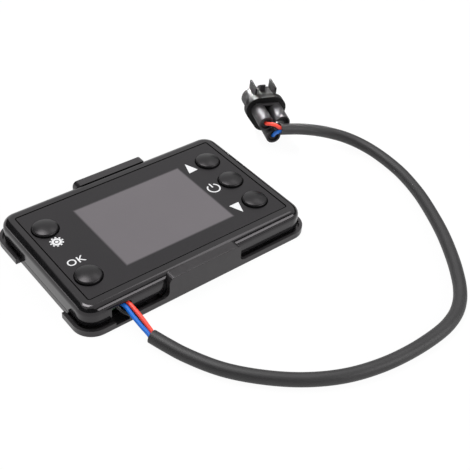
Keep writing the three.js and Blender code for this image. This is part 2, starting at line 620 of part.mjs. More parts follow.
function mountingBracket() {
  const plate = prism(roundedRectangle(BRACKET_LENGTH, BRACKET_WIDTH, BRACKET_CORNER), 0, RIM_HEIGHT);
  const [length, width] = [BRACKET_LENGTH - 2 * RIM_WALL, BRACKET_WIDTH - 2 * RIM_WALL];
  const inner = roundedRectangle(length, width, BRACKET_CORNER - RIM_WALL);
  const tray = carve([plate], [prism(inner, BASE_THICKNESS, RIM_HEIGHT + PAST)]);
  const joined = [tray];
  const removed = [];
  const wallMiddle = CASE_LENGTH / 2 - RIM_WALL / 2;
  const [reliefMiddle, reliefReach] = [CASE_LENGTH / 2 + BRACKET_CORNER, 2 * BRACKET_CORNER];
  for (const side of [-1, 1]) {
    joined.push(block(side * wallMiddle, RELIEF_Y, RIM_WALL, RELIEF_LENGTH + 2 * RIM_WALL, 0, RIM_HEIGHT));
    removed.push(block(side * reliefMiddle, RELIEF_Y, reliefReach, RELIEF_LENGTH, -PAST, RIM_HEIGHT + PAST));
    removed.push(cylinder(side * MOUNT_HOLE_X, 0, MOUNT_HOLE_RADIUS, -PAST, RIM_HEIGHT, ROUND_STEPS));
    removed.push(countersink(side * MOUNT_HOLE_X));
  }
  joined.push(hook());
  joined.push(hook().rotateZ(Math.PI));
  const [notchY, notchDepth] = [-BRACKET_WIDTH / 2, 4 * RIM_WALL];
  removed.push(block(RIM_NOTCH_X, notchY, RIM_NOTCH_LENGTH, notchDepth, BASE_THICKNESS, RIM_HEIGHT + PAST));
  return carve(joined, removed);
}

function countersink(x) {
  const depth = MOUNT_SINK_RADIUS - MOUNT_HOLE_RADIUS;
  const cone = new THREE.CylinderGeometry(MOUNT_SINK_RADIUS, MOUNT_HOLE_RADIUS, depth, ROUND_STEPS);
  return cone.rotateX(Math.PI / 2).translate(x, 0, BASE_THICKNESS - depth / 2 + CLEARANCE / 10);
}

// ---------------------------------------------------------------- lead

// The route of the sleeve's centre line, from the case to the connector, as it lies. The routes are
// measured from the middle of the exit slot, on the ground.
const SLEEVE_ROUTE = [
  [3.1, -17.4, 3.3],
  [5.6, -25.4, 3.14],
  [8.4, -33.2, 3.07],
  [15.9, -47.7, 3.05],
  [26.5, -60.3, 3.05],
  [39.1, -70.9, 3.05],
  [53.5, -78.8, 3.05],
  [69.4, -83.5, 3.05],
  [85.9, -85.5, 3.05],
  [102.3, -85.3, 3.05],
  [110.2, -84.1, 3.05],
  [117.9, -81.6, 3.05],
  [125, -77.5, 3.05],
  [131.5, -71.9, 3.05],
  [137.4, -65.3, 3.05],
  [142.9, -58.3, 3.05],
  [152.5, -44.1, 3.05],
  [160.5, -29.5, 3.05],
  [167.4, -14.4, 3.05],
  [172.1, 0.9, 3.14],
  [173.2, 8.6, 3.37],
  [173.4, 16.3, 3.85],
  [172.6, 24, 4.58],
  [170.5, 31.6, 5.5],
  [166.6, 38.6, 6.8],
  [161.2, 44.6, 8.1],
  [154.7, 49.5, 9.5],
  [148, 53, 10.8],
  [141.5, 55.4, 12],
  [135.5, 57.3, 13],
];

// Each wire from the board plug, out through the slot and down to the mouth of the sleeve.
const LEAD_ROUTES = {
  red: [[2.9, 2, 8], [3.4, -0.5, 7.9], [3.9, -4, 7.3], [4.3, -7.3, 6.5], [4.1, -11.4, 5.6],
    [4.3, -14.4, 5]],
  blue: [[0.6, 2, 8], [1, -0.7, 7.9], [1.1, -4.4, 7.2], [1.3, -8.7, 6.2], [1.7, -12.8, 5.1],
    [2, -15.5, 4.1]],
  black: [[-1.7, 2, 8], [-1.1, -1.1, 7], [-0.4, -5.5, 4.9], [0.4, -9, 3.6], [1.1, -12.3, 2.7],
    [1.9, -15.3, 2.1]],
};

// Points of a route, set off from the exit slot of the case.
function fromExit(route) {
  return route.map(([x, y, z]) => [EXIT_X + x, y - CASE_WIDTH / 2, z]);
}

// Where each wire meets the mouth of the sleeve, across and up from its centre line.
const SLEEVE_SEATS = { red: [1.3, 1.1], blue: [-0.8, 0.7], black: [-0.8, -1.45] };

function tube(points, radius, sides, steps) {
  const path = new THREE.CatmullRomCurve3(points.map((point) => new THREE.Vector3(...point)));
  const rim = new THREE.EllipseCurve(0, 0, radius, radius).getPoints(sides).slice(0, sides);
  const options = { steps, bevelEnabled: false, extrudePath: path };
  return carve([new THREE.ExtrudeGeometry(new THREE.Shape(rim), options)]);
}

// A place just outside one end of the sleeve, on a wire's seat there.
function sleeveSeat(end, seat, away) {
  const route = fromExit(SLEEVE_ROUTE);
  const [from, next] = end === 'case' ? route : route.reverse();
  const mouth = new THREE.Vector3(...from);
  const along = new THREE.Vector3(...next).sub(mouth).normalize();
  const across = new THREE.Vector3(-along.y, along.x, 0).normalize();
  mouth.addScaledVector(along, -away).addScaledVector(across, seat[0]);
  return [mouth.x, mouth.y, mouth.z + seat[1]];
}

function lead(colour) {
  const order = ['black', 'blue', 'red'];
  const pin = HEADER_X + (order.indexOf(colour) - 1) * PLUG_PITCH;
  const start = [pin, plugRearY() - CLEARANCE, headerMiddle()];
  const seat = SLEEVE_SEATS[colour];
  const end = [2 * CLEARANCE + WIRE_RADIUS, CLEARANCE].map((away) => sleeveSeat('case', seat, away));
  return tube([start, ...fromExit(LEAD_ROUTES[colour]), ...end], WIRE_RADIUS, WIRE_SIDES, LEAD_STEPS);
}

function cableSleeve() {
  return tube(fromExit(SLEEVE_ROUTE), SLEEVE_RADIUS, SLEEVE_SIDES, SLEEVE_STEPS);
}

// ---------------------------------------------------------------- connector

const highTube = SHELL_FOOT_RADIUS + TUBE_DROP;
const tubes = {
  red: { x: -TUBE_PITCH / 2, z: highTube, length: TUBE_LENGTH },
  black: { x: TUBE_PITCH / 2, z: highTube, length: TUBE_LENGTH },
  blue: { x: 0, z: SHELL_FOOT_RADIUS, length: TUBE_LENGTH + LOW_TUBE_EXTRA },
};

// Outline of the connector in (X, Z): two upper corners and one foot, drawn in by an inset.
function shellOutline(inset) {
  const [top, foot] = [SHELL_TOP_RADIUS - inset, SHELL_FOOT_RADIUS - inset];
  const rise = SHELL_TOP_HEIGHT - SHELL_FOOT_RADIUS;
  const span = Math.hypot(SHELL_TOP_HALF, rise);
  const lean = Math.atan2(SHELL_TOP_HALF, rise);
  const side = Math.asin((top - foot) / span) - lean;
  const shape = new THREE.Shape();
  shape.absarc(SHELL_TOP_HALF, SHELL_TOP_HEIGHT, top, side, Math.PI / 2);
  shape.absarc(-SHELL_TOP_HALF, SHELL_TOP_HEIGHT, top, Math.PI / 2, Math.PI - side);
  shape.absarc(0, SHELL_FOOT_RADIUS, foot, Math.PI - side, 2 * Math.PI + side);
  shape.closePath();
  return shape;
}

function connectorHousing() {
  const front = FLANGE_THICKNESS + SHROUD_LENGTH;
  const joined = [
    alongY(shellOutline(0), 0, FLANGE_THICKNESS),
    alongY(shellOutline(FLANGE_OVERHANG), FLANGE_THICKNESS / 2, front),
  ];
  const removed = [
    alongY(shellOutline(FLANGE_OVERHANG + SHROUD_WALL), FLANGE_THICKNESS, front + PAST),
    alongY(shellOutline(FLANGE_OVERHANG + SHROUD_WALL), -PAST, FLANGE_POCKET),
  ];
  for (const { x, z, length } of Object.values(tubes)) {
    joined.push(lyingCylinder(x, z, TUBE_RADIUS, -length, FLANGE_THICKNESS));
    removed.push(lyingCylinder(x, z, TUBE_RADIUS - TUBE_WALL, -length - PAST, FLANGE_POCKET));
    removed.push(lyingCylinder(x, z, CONTACT_RADIUS + CLEARANCE, 0, FLANGE_THICKNESS + PAST, SMALL_STEPS));
  }
  const roof = SHELL_TOP_HEIGHT + SHELL_TOP_RADIUS - FLANGE_OVERHANG;
  const finMiddle = FLANGE_THICKNESS + SHROUD_LENGTH / 2;
  const finFoot = 1.2 * SHROUD_WALL; // down into the rounded roof
  for (const side of [-1, 1]) {
    const x = side * FIN_HALF_PITCH;
    joined.push(block(x, finMiddle, FIN_THICKNESS, SHROUD_LENGTH, roof - finFoot, roof + FIN_HEIGHT));
  }
  const plateTop = highTube + TUBE_RADIUS;
  const plateLength = TUBE_PITCH + TUBE_RADIUS;
  joined.push(block(0, -PLATE_LENGTH / 2 + FLANGE_POCKET, plateLength, PLATE_LENGTH + 2 * FLANGE_POCKET,
    plateTop - PLATE_THICKNESS, plateTop));
  joined.push(alongX(latchSection(roof, front), LATCH_WIDTH, 0));
  const body = carve(joined.slice(0, 2), removed.slice(0, 2));
  return carve([body, ...joined.slice(2)], removed.slice(2));
}

// The locking wedge from the side, in (Y, Z): upright towards the wires, sloping down to the mouth.
function latchSection(roof, front) {
  const foot = roof - SHROUD_WALL / 2;
  const shape = new THREE.Shape();
  shape.moveTo(LATCH_START, foot);
  shape.lineTo(front, foot);
  shape.lineTo(front, roof + LATCH_NOSE);
  shape.lineTo(LATCH_START + LATCH_NOSE, roof + LATCH_HEIGHT);
  shape.lineTo(LATCH_START, roof + LATCH_HEIGHT);
  shape.closePath();
  return shape;
}

// A ribbed rubber seal in the mouth of a tube, with the wire's bore through it.
function wireSeal({ x, z, length }) {
  const outside = -length + SEAL_DEPTH;
  const radius = TUBE_RADIUS - TUBE_WALL - CLEARANCE;
  const body = lyingCylinder(x, z, radius, outside, outside + SEAL_LENGTH, SMALL_STEPS);
  const inside = outside + SEAL_LENGTH;
  const bore = lyingCylinder(x, z, WIRE_RADIUS + CLEARANCE, outside - PAST, inside + PAST, SMALL_STEPS);
  return carve([body], [bore]);
}

// A contact: the crimp behind the wall and the round pin in the shroud.
function contactPin({ x, z, length }) {
  const crimp = -length + SEAL_DEPTH + SEAL_LENGTH + CLEARANCE;
  const barrel = lyingCylinder(x, z, TUBE_RADIUS - TUBE_WALL - 2 * CLEARANCE, crimp, 0, SMALL_STEPS);
  const pin = lyingCylinder(x, z, CONTACT_RADIUS, -PAST, FLANGE_THICKNESS + CONTACT_REACH, SMALL_STEPS);
  return carve([barrel, pin]);
}

// Where the connector's own frame stands.
function connectorFrame() {
  const frame = new THREE.Group();
  const [x, y] = [EXIT_X + PLUG_FROM_EXIT_X, PLUG_FROM_EXIT_Y - CASE_WIDTH / 2];
  frame.position.set(x, y, SHELL_FOOT_RADIUS + PLUG_LIFT);
  frame.rotation.set(0, THREE.MathUtils.degToRad(PLUG_ROLL), THREE.MathUtils.degToRad(-PLUG_TURN), 'ZYX');
  frame.updateMatrixWorld(true);
  return frame;
}

// A wire's tail, from the mouth of the sleeve into its seal.
function tail(colour, frame) {
  const { x, z, length } = tubes[colour];
  const down = -SHELL_FOOT_RADIUS;
  const inTube = -length + SEAL_DEPTH;
  const place = (along) => frame.localToWorld(new THREE.Vector3(x, along, z + down)).toArray();
  const seat = TAIL_SEATS[colour];
  const start = [CLEARANCE, 2 * CLEARANCE + WIRE_RADIUS].map((away) => sleeveSeat('connector', seat, away));
  const end = [place(inTube), place(inTube + SEAL_LENGTH)];
  return tube([...start, ...fromExit(TAIL_ROUTES[colour]), ...end], WIRE_RADIUS, WIRE_SIDES, TAIL_STEPS);
}

const TAIL_SEATS = { red: [-0.1, 1.35], blue: [-0.3, -1.5], black: [1.5, -0.2] };
const TAIL_ROUTES = {
  red: [[133.7, 58.5, 14.8], [132.5, 60.5, 14.8], [131.7, 62.6, 14.4]],
  blue: [[133.7, 57.2, 11], [133.9, 57.8, 9.8], [134.6, 59.1, 8.1]],
  black: [[134.3, 58.8, 13], [134.6, 59.9, 13.5], [135.6, 60.5, 14.2], [136.9, 60.45, 14.7],
    [138.4, 60.4, 14.7], [139.9, 60.7, 14.1]],
};

// ---------------------------------------------------------------- finishes

function finish(color, roughness, metalness = 0) {
  return new THREE.MeshStandardMaterial({ color, roughness, metalness });
}

const finishes = {
  caseBlack: finish(0x1b1b1d, 0.22),
  bracketBlack: finish(0x232325, 0.4),
  overlay: finish(0x2c2b2e, 0.35),
  key: finish(0x1e1e20, 0.3),
  screen: finish(0x787377, 0.3),
  foam: finish(0x151515, 0.95),
  whitePlastic: finish(0xe8e6df, 0.6),
  board: finish(0x17402a, 0.55),
  chip: finish(0x1a1a1c, 0.6),
  polyimide: finish(0x9a6a22, 0.45),
  switchBody: finish(0x25262a, 0.5),
  steel: finish(0xa9abad, 0.35, 1),
  brass: finish(0xc4a55a, 0.3, 1),
  sleeve: finish(0x2a292b, 0.5),
  redWire: finish(0xe8403a, 0.4),
  blueWire: finish(0x1f86e0, 0.4),
  blackWire: finish(0x1c1c1e, 0.4),
  connector: finish(0x222224, 0.45),
  seal: finish(0x202020, 0.8),
};

// ---------------------------------------------------------------- the whole panel

const panel = new THREE.Group();

function place(name, geometry, material, parent = panel, x = 0, y = 0) {
  const mesh = new THREE.Mesh(geometry, material);
  mesh.name = name;
  mesh.position.set(x, y, 0);
  parent.add(mesh);
  return mesh;
}

place('mounting_bracket', mountingBracket(), finishes.bracketBlack);
place('rear_shell', rearShell(), finishes.caseBlack);
place('front_shell', frontShell(), finishes.caseBlack);
place('face_overlay', faceOverlay(), finishes.overlay);

for (const [name, [x, y]] of Object.entries(keyPlaces)) {
  place(`key_${name}`, key(), finishes.key, panel, x, y);
  place(`switch_stem_${name}`, switchStem(), finishes.blackWire, panel, x, y);
  place(`switch_body_${name}`, switchBody(), finishes.switchBody, panel, x, y);
}

place('screen_gasket', screenGasket(), finishes.foam);
place('screen_glass', screenLayer(glassBottom, gasketBottom), finishes.screen);
place('backlight', screenLayer(boardTop, glassBottom, CLEARANCE), finishes.whitePlastic);
place('screen_flex', screenFlex(), finishes.polyimide);
place('flex_socket', flexSocket(), finishes.whitePlastic);

place('circuit_board', circuitBoard(), finishes.board);
place('processor', processor(), finishes.chip);
for (const [name, made] of Object.entries(underBoardParts)) {
  place(name, underBoard(made), finishes[made.finish]);
}
place('board_header', boardHeader(), finishes.whitePlastic);
place('board_plug', boardPlug(), finishes.whitePlastic);

for (const [name, [x, y]] of Object.entries(caseScrewPlaces)) {
  place(`case_screw_${name}`, caseScrew(), finishes.steel, panel, x, y);
}
for (const [name, [x, y]] of Object.entries(boardScrewPlaces)) {
  place(`board_screw_${name}`, boardScrew(), finishes.steel, panel, x, y);
}

const wireFinishes = { red: finishes.redWire, blue: finishes.blueWire, black: finishes.blackWire };
const connector = connectorFrame();
const inner = new THREE.Group();
inner.position.set(0, 0, -SHELL_FOOT_RADIUS);
connector.add(inner);
panel.add(connector);
place('connector_housing', connectorHousing(), finishes.connector, inner);
place('cable_sleeve', cableSleeve(), finishes.sleeve);
for (const [colour, material] of Object.entries(wireFinishes)) {
  place(`lead_${colour}`, lead(colour), material);
  place(`tail_${colour}`, tail(colour, connector), material);
  place(`wire_seal_${colour}`, wireSeal(tubes[colour]), finishes.seal, inner);
  place(`contact_pin_${colour}`, contactPin(tubes[colour]), finishes.brass, inner);
}

export default panel;
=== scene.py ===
"""Looks of an air heater's wired control panel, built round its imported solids.

The frame is the part's own: metres, +Z out of the face, +X along the face from the two keys to the
three keys, +Y towards the top edge of the face, and the origin on the ground under the case's middle.
Sizes are written in millimetres and become metres where a mesh is made.
"""

import logging
import math
from dataclasses import dataclass, field
from enum import Enum
from typing import Callable, Sequence

import bmesh
import bpy
from bmesh.types import BMesh, BMEdge, BMVert
from mathutils import Matrix, Vector


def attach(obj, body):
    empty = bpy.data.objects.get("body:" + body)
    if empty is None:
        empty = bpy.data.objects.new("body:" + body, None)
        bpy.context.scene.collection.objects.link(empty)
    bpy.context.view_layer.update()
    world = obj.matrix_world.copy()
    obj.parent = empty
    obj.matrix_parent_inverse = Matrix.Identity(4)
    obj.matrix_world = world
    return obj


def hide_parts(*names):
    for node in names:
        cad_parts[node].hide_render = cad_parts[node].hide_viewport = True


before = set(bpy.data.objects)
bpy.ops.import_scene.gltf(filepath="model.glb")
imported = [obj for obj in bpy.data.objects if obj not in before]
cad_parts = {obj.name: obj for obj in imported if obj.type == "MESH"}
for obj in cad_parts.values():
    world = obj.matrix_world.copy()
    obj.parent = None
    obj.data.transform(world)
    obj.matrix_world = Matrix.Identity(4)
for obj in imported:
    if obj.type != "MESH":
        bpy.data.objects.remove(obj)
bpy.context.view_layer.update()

Triple = tuple[float, float, float]
Colour = tuple[float, float, float, float]

MM = 0.001
SAME = 1e-6  # lengths that differ by less than this are equal
TURN_WELD = 1e-5  # points of a turned body closer than this are joined
LETTER_WELD = 1e-4
CUT_WELD = 1e-3
WHITE = (1.0, 1.0, 1.0, 1.0)
SHEEN_TINT = (1.0, 0.95, 0.985, 1.0)
LOG = logging.getLogger("control_panel")


# ------------------------------------------------------------------------------------------ shader nodes


def linear(colour: int) -> Colour:
    """A colour as Blender's linear RGBA.

    Args:
        colour: The colour, written as 0xRRGGBB.

    Returns:
        Its red, green, blue and alpha.
    """
    channels = [((colour >> shift) & 255) / 255 for shift in (16, 8, 0)]
    values = [c / 12.92 if c <= 0.04045 else ((c + 0.055) / 1.055) ** 2.4 for c in channels]
    return values[0], values[1], values[2], 1.0


def tinted(colour: int, factors: Triple) -> Colour:
    """A colour whose red, green and blue are each multiplied by a factor."""
    red, green, blue, _ = linear(colour)
    return red * factors[0], green * factors[1], blue * factors[2], 1.0


def shades(colour: int, mottle: float) -> tuple[Colour, Colour]:
    """The shades that lie a share below and a share above a colour."""
    return tinted(colour, (1 - mottle,) * 3), tinted(colour, (1 + mottle,) * 3)


class Signal:
    """One number in a material's nodes, on which plain arithmetic adds Math nodes."""

    def __init__(self, painter: "Painter", socket: bpy.types.NodeSocket) -> None:
        """Wraps a socket.

        Args:
            painter: The painter whose nodes the socket belongs to.
            socket: The output socket.
        """
        self.painter = painter
        self.socket = socket

    def math(self, operation: str, *operands: "Signal | float") -> "Signal":
        """Adds a Math node.

        Args:
            operation: Blender's name for the sum.
            operands: The values or signals that it takes, in order.

        Returns:
            The node's result.
        """
        return self.painter.signal("ShaderNodeMath", {"operation": operation}, dict(enumerate(operands)))

    def __add__(self, other: "Signal | float") -> "Signal":
        """Self plus other."""
        return self.math("ADD", self, other)

    def __radd__(self, other: "Signal | float") -> "Signal":
        """Other plus self."""
        return self.math("ADD", other, self)

    def __sub__(self, other: "Signal | float") -> "Signal":
        """Self less other."""
        return self.math("SUBTRACT", self, other)

    def __rsub__(self, other: "Signal | float") -> "Signal":
        """Other less self."""
        return self.math("SUBTRACT", other, self)

    def __mul__(self, other: "Signal | float") -> "Signal":
        """Self times other."""
        return self.math("MULTIPLY", self, other)

    def __rmul__(self, other: "Signal | float") -> "Signal":
        """Other times self."""
        return self.math("MULTIPLY", other, self)

    def __abs__(self) -> "Signal":
        """The size of self without its sign."""
        return self.math("ABSOLUTE", self)

    def larger(self, other: "Signal | float") -> "Signal":
        """The larger of self and other."""
        return self.math("MAXIMUM", self, other)


class Painter:
    """Fills one material, or the world, with nodes."""

    def __init__(self, owner: bpy.types.Material | bpy.types.World) -> None:
        """Empties the nodes.

        Args:
            owner: The material or the world.
        """
        self.owner = owner
        self.owner.use_nodes = True
        self.tree = self.owner.node_tree
        self.tree.nodes.clear()

    def node(self, kind: str, settings: dict | None = None, inputs: dict | None = None) -> bpy.types.Node:
        """Makes any node: its settings first, then its sockets.

        Args:
            kind: The node's type.
            settings: Its settings by name; `stops` holds a ramp's places and colours.
            inputs: The values or signals of its sockets, by name or by number.

        Returns:
            The node.
        """
        made = self.tree.nodes.new(kind)
        for name, value in (settings or {}).items():
            if name == "stops":
                for element, (place, colour) in zip(made.color_ramp.elements, value):
                    element.position = place
                    element.color = colour
            else:
                setattr(made, name, value)
        for key, value in (inputs or {}).items():
            if isinstance(value, Signal):
                self.tree.links.new(value.socket, made.inputs[key])
            else:
                made.inputs[key].default_value = value
        return made

    def signal(self, kind: str, settings: dict | None = None, inputs: dict | None = None,
               output: int | str = 0) -> Signal:
        """Makes a node and takes one of its outputs.

        Args:
            kind: The node's type.
            settings: Its settings by name.
            inputs: The values or signals of its sockets.
            output: The output to take, by name or by number.

        Returns:
            That output.
        """
        return Signal(self, self.node(kind, settings, inputs).outputs[output])

    def place(self) -> Signal:
        """The place on the piece, in metres."""
        return self.signal("ShaderNodeTexCoord", output="Object")

    def axes(self, place: Signal) -> tuple[Signal, Signal, Signal]:
        """The three numbers of a place."""
        x, y, z = self.node("ShaderNodeSeparateXYZ", None, {0: place}).outputs
        return Signal(self, x), Signal(self, y), Signal(self, z)

    def stretched(self, place: Signal, scale: Triple, turn: float = 0.0) -> Signal:
        """A place scaled, and turned about Z by radians."""
        inputs = {"Vector": place, "Scale": scale, "Rotation": (0.0, 0.0, turn)}
        return self.signal("ShaderNodeMapping", None, inputs)

    def noise(self, place: Signal, size: float, detail: float = 2.0, roughness: float = 0.5) -> Signal:
        """Soft noise from 0 to 1.

        Args:
            place: Where it is read.
            size: The width of one patch, in the units of the place.
            detail: How many finer layers it has.
            roughness: How strong the finer layers are.

        Returns:
            The noise.
        """
        inputs = {"Vector": place, "Scale": 1 / size, "Detail": detail, "Roughness": roughness}
        return self.signal("ShaderNodeTexNoise", None, inputs)

    def blend(self, share: Signal, low: "Signal | tuple", high: "Signal | tuple") -> Signal:
        """A colour between two colours.

        Args:
            share: 0 for the first colour, 1 for the second.
            low: The first colour.
            high: The second colour.

        Returns:
            The mixed colour.
        """
        settings = {"data_type": "RGBA", "clamp_factor": True}
        factor, first, second, mixed = 0, 6, 7, 2
        return self.signal("ShaderNodeMix", settings, {factor: share, first: low, second: high}, mixed)

    def step(self, value: Signal, start: float, end: float) -> Signal:
        """A smooth step from 0 at start to 1 at end."""
        inputs = {"Value": value, "From Min": start, "From Max": end}
        return self.signal("ShaderNodeMapRange", {"interpolation_type": "SMOOTHSTEP"}, inputs)

    def bump(self, height: Signal, depth: float, below: Signal | None = None) -> Signal:
        """A normal bent by a height.

        Args:
            height: The height, from 0 to 1.
            depth: How deep that is, in millimetres.
            below: A normal that this one adds to.

        Returns:
            The normal.
        """
        inputs = {"Height": height, "Distance": depth * MM}
        if below is not None:
            inputs["Normal"] = below
        return self.signal("ShaderNodeBump", None, inputs)

    def finish(self, constants: dict, varying: dict) -> bpy.types.Material:
        """Ends the material in one Principled shader.

        Args:
            constants: What is the same all over, by socket.
            varying: What changes over the surface, by socket.

        Returns:
            The material.
        """
        shader = self.signal("ShaderNodeBsdfPrincipled", None, {**constants, **varying})
        self.node("ShaderNodeOutputMaterial", None, {"Surface": shader})
        return self.owner


# ---------------------------------------------------------------------------------------------- finishes


@dataclass(frozen=True)
class Moulded:
    """A moulded plastic or rubber: a faint mottle, a fine grain, and handling marks in its gloss."""

    name: str
    colour: int
    roughness: float
    mottle: float = 0.25
    grain_size: float = 0.5
    grain_depth: float = 0.004
    wave_size: float = 14.0
    wave_depth: float = 0.01
    specular: float = 0.5
    patch_size: float = 9.0
    patch_steps: tuple[float, float] = (0.3, 0.7)
    smear_size: float = 6.0
    smear_stretch: Triple = (1.0, 0.35, 1.0)
    smear_turn: float = 0.6
    smear_gloss: tuple[float, float] = (0.86, 0.28)

    def make(self) -> bpy.types.Material:
        """Builds the material.

        Returns:
            The material.
        """
        painter = Painter(bpy.data.materials.new(self.name))
        place = painter.place()
        patches = painter.noise(place, self.patch_size * MM, 4.0, 0.6)
        streaks = painter.stretched(place, self.smear_stretch, self.smear_turn)
        smears = painter.noise(streaks, self.smear_size * MM, 3.0, 0.6)
        grain = painter.noise(place, self.grain_size * MM, 1.0)
        waves = painter.noise(place, self.wave_size * MM, 1.0)
        normal = painter.bump(grain, self.grain_depth, painter.bump(waves, self.wave_depth))
        constants = {"Specular IOR Level": self.specular, "Specular Tint": SHEEN_TINT}
        least, most = self.smear_gloss
        varying = {
            "Base Color": painter.blend(painter.step(patches, *self.patch_steps),
                                        *shades(self.colour, self.mottle)),
            "Roughness": self.roughness * (least + most * smears),
            "Normal": normal,
        }
        return painter.finish(constants, varying)


@dataclass(frozen=True)
class Metal:
    """A plated or drawn metal with fine scratches along one way."""

    name: str
    colour: int
    roughness: float
    scratch: Triple = (1.0, 0.1, 1.0)
    scratch_size: float = 0.12
    scratch_depth: float = 0.002
    scratch_gloss: tuple[float, float] = (0.7, 0.6)
    tarnish: Triple = (0.7, 0.66, 0.6)
    tarnish_size: float = 2.5
    tarnish_steps: tuple[float, float] = (0.35, 0.75)

    def make(self) -> bpy.types.Material:
        """Builds the material.

        Returns:
            The material.
        """
        painter = Painter(bpy.data.materials.new(self.name))
        place = painter.place()
        drawn = painter.stretched(place, self.scratch)
        scratches = painter.noise(drawn, self.scratch_size * MM, 3.0, 0.7)
        patches = painter.step(painter.noise(place, self.tarnish_size * MM, 3.0), *self.tarnish_steps)
        least, most = self.scratch_gloss
        varying = {
            "Base Color": painter.blend(patches, linear(self.colour), tinted(self.colour, self.tarnish)),
            "Roughness": self.roughness * (least + most * scratches),
            "Normal": painter.bump(scratches, self.scratch_depth),
        }
        return painter.finish({"Metallic": 1.0}, varying)


@dataclass(frozen=True)
class Ink:
    """A screen-printed ink: nearly flat, with the faint unevenness of a print."""

    name: str
    colour: int
    roughness: float = 0.45
    thin: Triple = (0.86, 0.86, 0.87)
    spread_size: float = 0.5
    spread_steps: tuple[float, float] = (0.3, 0.6)
    spread_gloss: tuple[float, float] = (0.85, 0.3)
    spread_depth: float = 0.003

    def make(self) -> bpy.types.Material:
        """Builds the material.

        Returns:
            The material.
        """
        painter = Painter(bpy.data.materials.new(self.name))
        spread = painter.noise(painter.place(), self.spread_size * MM, 3.0)
        full = painter.step(spread, *self.spread_steps)
        least, most = self.spread_gloss
        varying = {
            "Base Color": painter.blend(full, tinted(self.colour, self.thin), linear(self.colour)),
            "Roughness": self.roughness * (least + most * spread),
            "Normal": painter.bump(spread, self.spread_depth),
        }
        return painter.finish({}, varying)


@dataclass(frozen=True)
class FaceFilm:
    """The overlay: a satin black film with a smoked window, through which the unlit screen shows grey."""

    name: str
    colour: int
    screen: int
    window_centre: tuple[float, float]
    window_half: tuple[float, float]
    soft_edge: float = 0.7
    screen_shade: Triple = (0.9, 0.9, 0.91)
    shade_size: float = 26.0
    film_shade: Triple = (1.25, 1.25, 1.25)
    mottle_size: float = 0.9
    mottle_steps: tuple[float, float] = (0.35, 0.75)
    grain_size: float = 0.32
    grain_depth: float = 0.003
    smear_size: float = 11.0
    smear_stretch: Triple = (1.0, 0.4, 1.0)
    smear_turn: float = 0.8
    smear_gloss: tuple[float, float] = (0.3, 0.1)
    specular: float = 0.34

    def make(self) -> bpy.types.Material:
        """Builds the material.

        Returns:
            The material.
        """
        painter = Painter(bpy.data.materials.new(self.name))
        place = painter.place()
        along, up, _ = painter.axes(place)
        side = abs(along - self.window_centre[0] * MM) - self.window_half[0] * MM
        top = abs(up - self.window_centre[1] * MM) - self.window_half[1] * MM
        outside = side.larger(top)
        window = 1 - painter.step(outside, -self.soft_edge * MM, self.soft_edge * MM)
        shade = painter.noise(place, self.shade_size * MM, 2.0)
        screen = painter.blend(shade, tinted(self.screen, self.screen_shade), linear(self.screen))
        mottle = painter.step(painter.noise(place, self.mottle_size * MM, 3.0), *self.mottle_steps)
        film = painter.blend(mottle, linear(self.colour), tinted(self.colour, self.film_shade))
        grain = painter.noise(place, self.grain_size * MM, 1.0)
        streaks = painter.stretched(place, self.smear_stretch, self.smear_turn)
        smears = painter.noise(streaks, self.smear_size * MM, 3.0, 0.6)
        least, most = self.smear_gloss
        constants = {"Specular IOR Level": self.specular, "Specular Tint": SHEEN_TINT}
        varying = {
            "Base Color": painter.blend(window, film, screen),
            "Roughness": least + most * smears,
            "Normal": painter.bump(grain, self.grain_depth),
        }
        return painter.finish(constants, varying)


@dataclass(frozen=True)
class Jacket:
    """An extruded jacket: lengthwise draw lines that follow the tube."""

    name: str
    colour: int
    roughness: float
    line_width: float
    line_depth: float
    mottle: float = 0.12
    line_stretch: Triple = (1.0, 1.0, 0.02)
    patch_stretch: Triple = (1.0, 1.0, 0.3)
    patch_size: float = 3.5
    patch_steps: tuple[float, float] = (0.3, 0.7)
    dust_size: float = 1.1
    gloss: Triple = (0.8, 0.25, 0.2)

    def make(self) -> bpy.types.Material:
        """Builds the material. It reads the attribute `lay`: across, up and along the tube, in metres.

        Returns:
            The material.
        """
        painter = Painter(bpy.data.materials.new(self.name))
        lay = painter.signal("ShaderNodeAttribute", {"attribute_name": "lay"}, output="Vector")
        drawn = painter.stretched(lay, self.line_stretch)
        lines = painter.noise(drawn, self.line_width * MM, 2.0, 0.6)
        patches = painter.noise(painter.stretched(lay, self.patch_stretch), self.patch_size * MM, 3.0)
        dust = painter.noise(lay, self.dust_size * MM, 4.0, 0.7)
        least, lined, dusty = self.gloss
        varying = {
            "Base Color": painter.blend(painter.step(patches, *self.patch_steps),
                                        *shades(self.colour, self.mottle)),
            "Roughness": self.roughness * (least + lined * lines + dusty * dust),
            "Normal": painter.bump(lines, self.line_depth),
        }
        return painter.finish({}, varying)


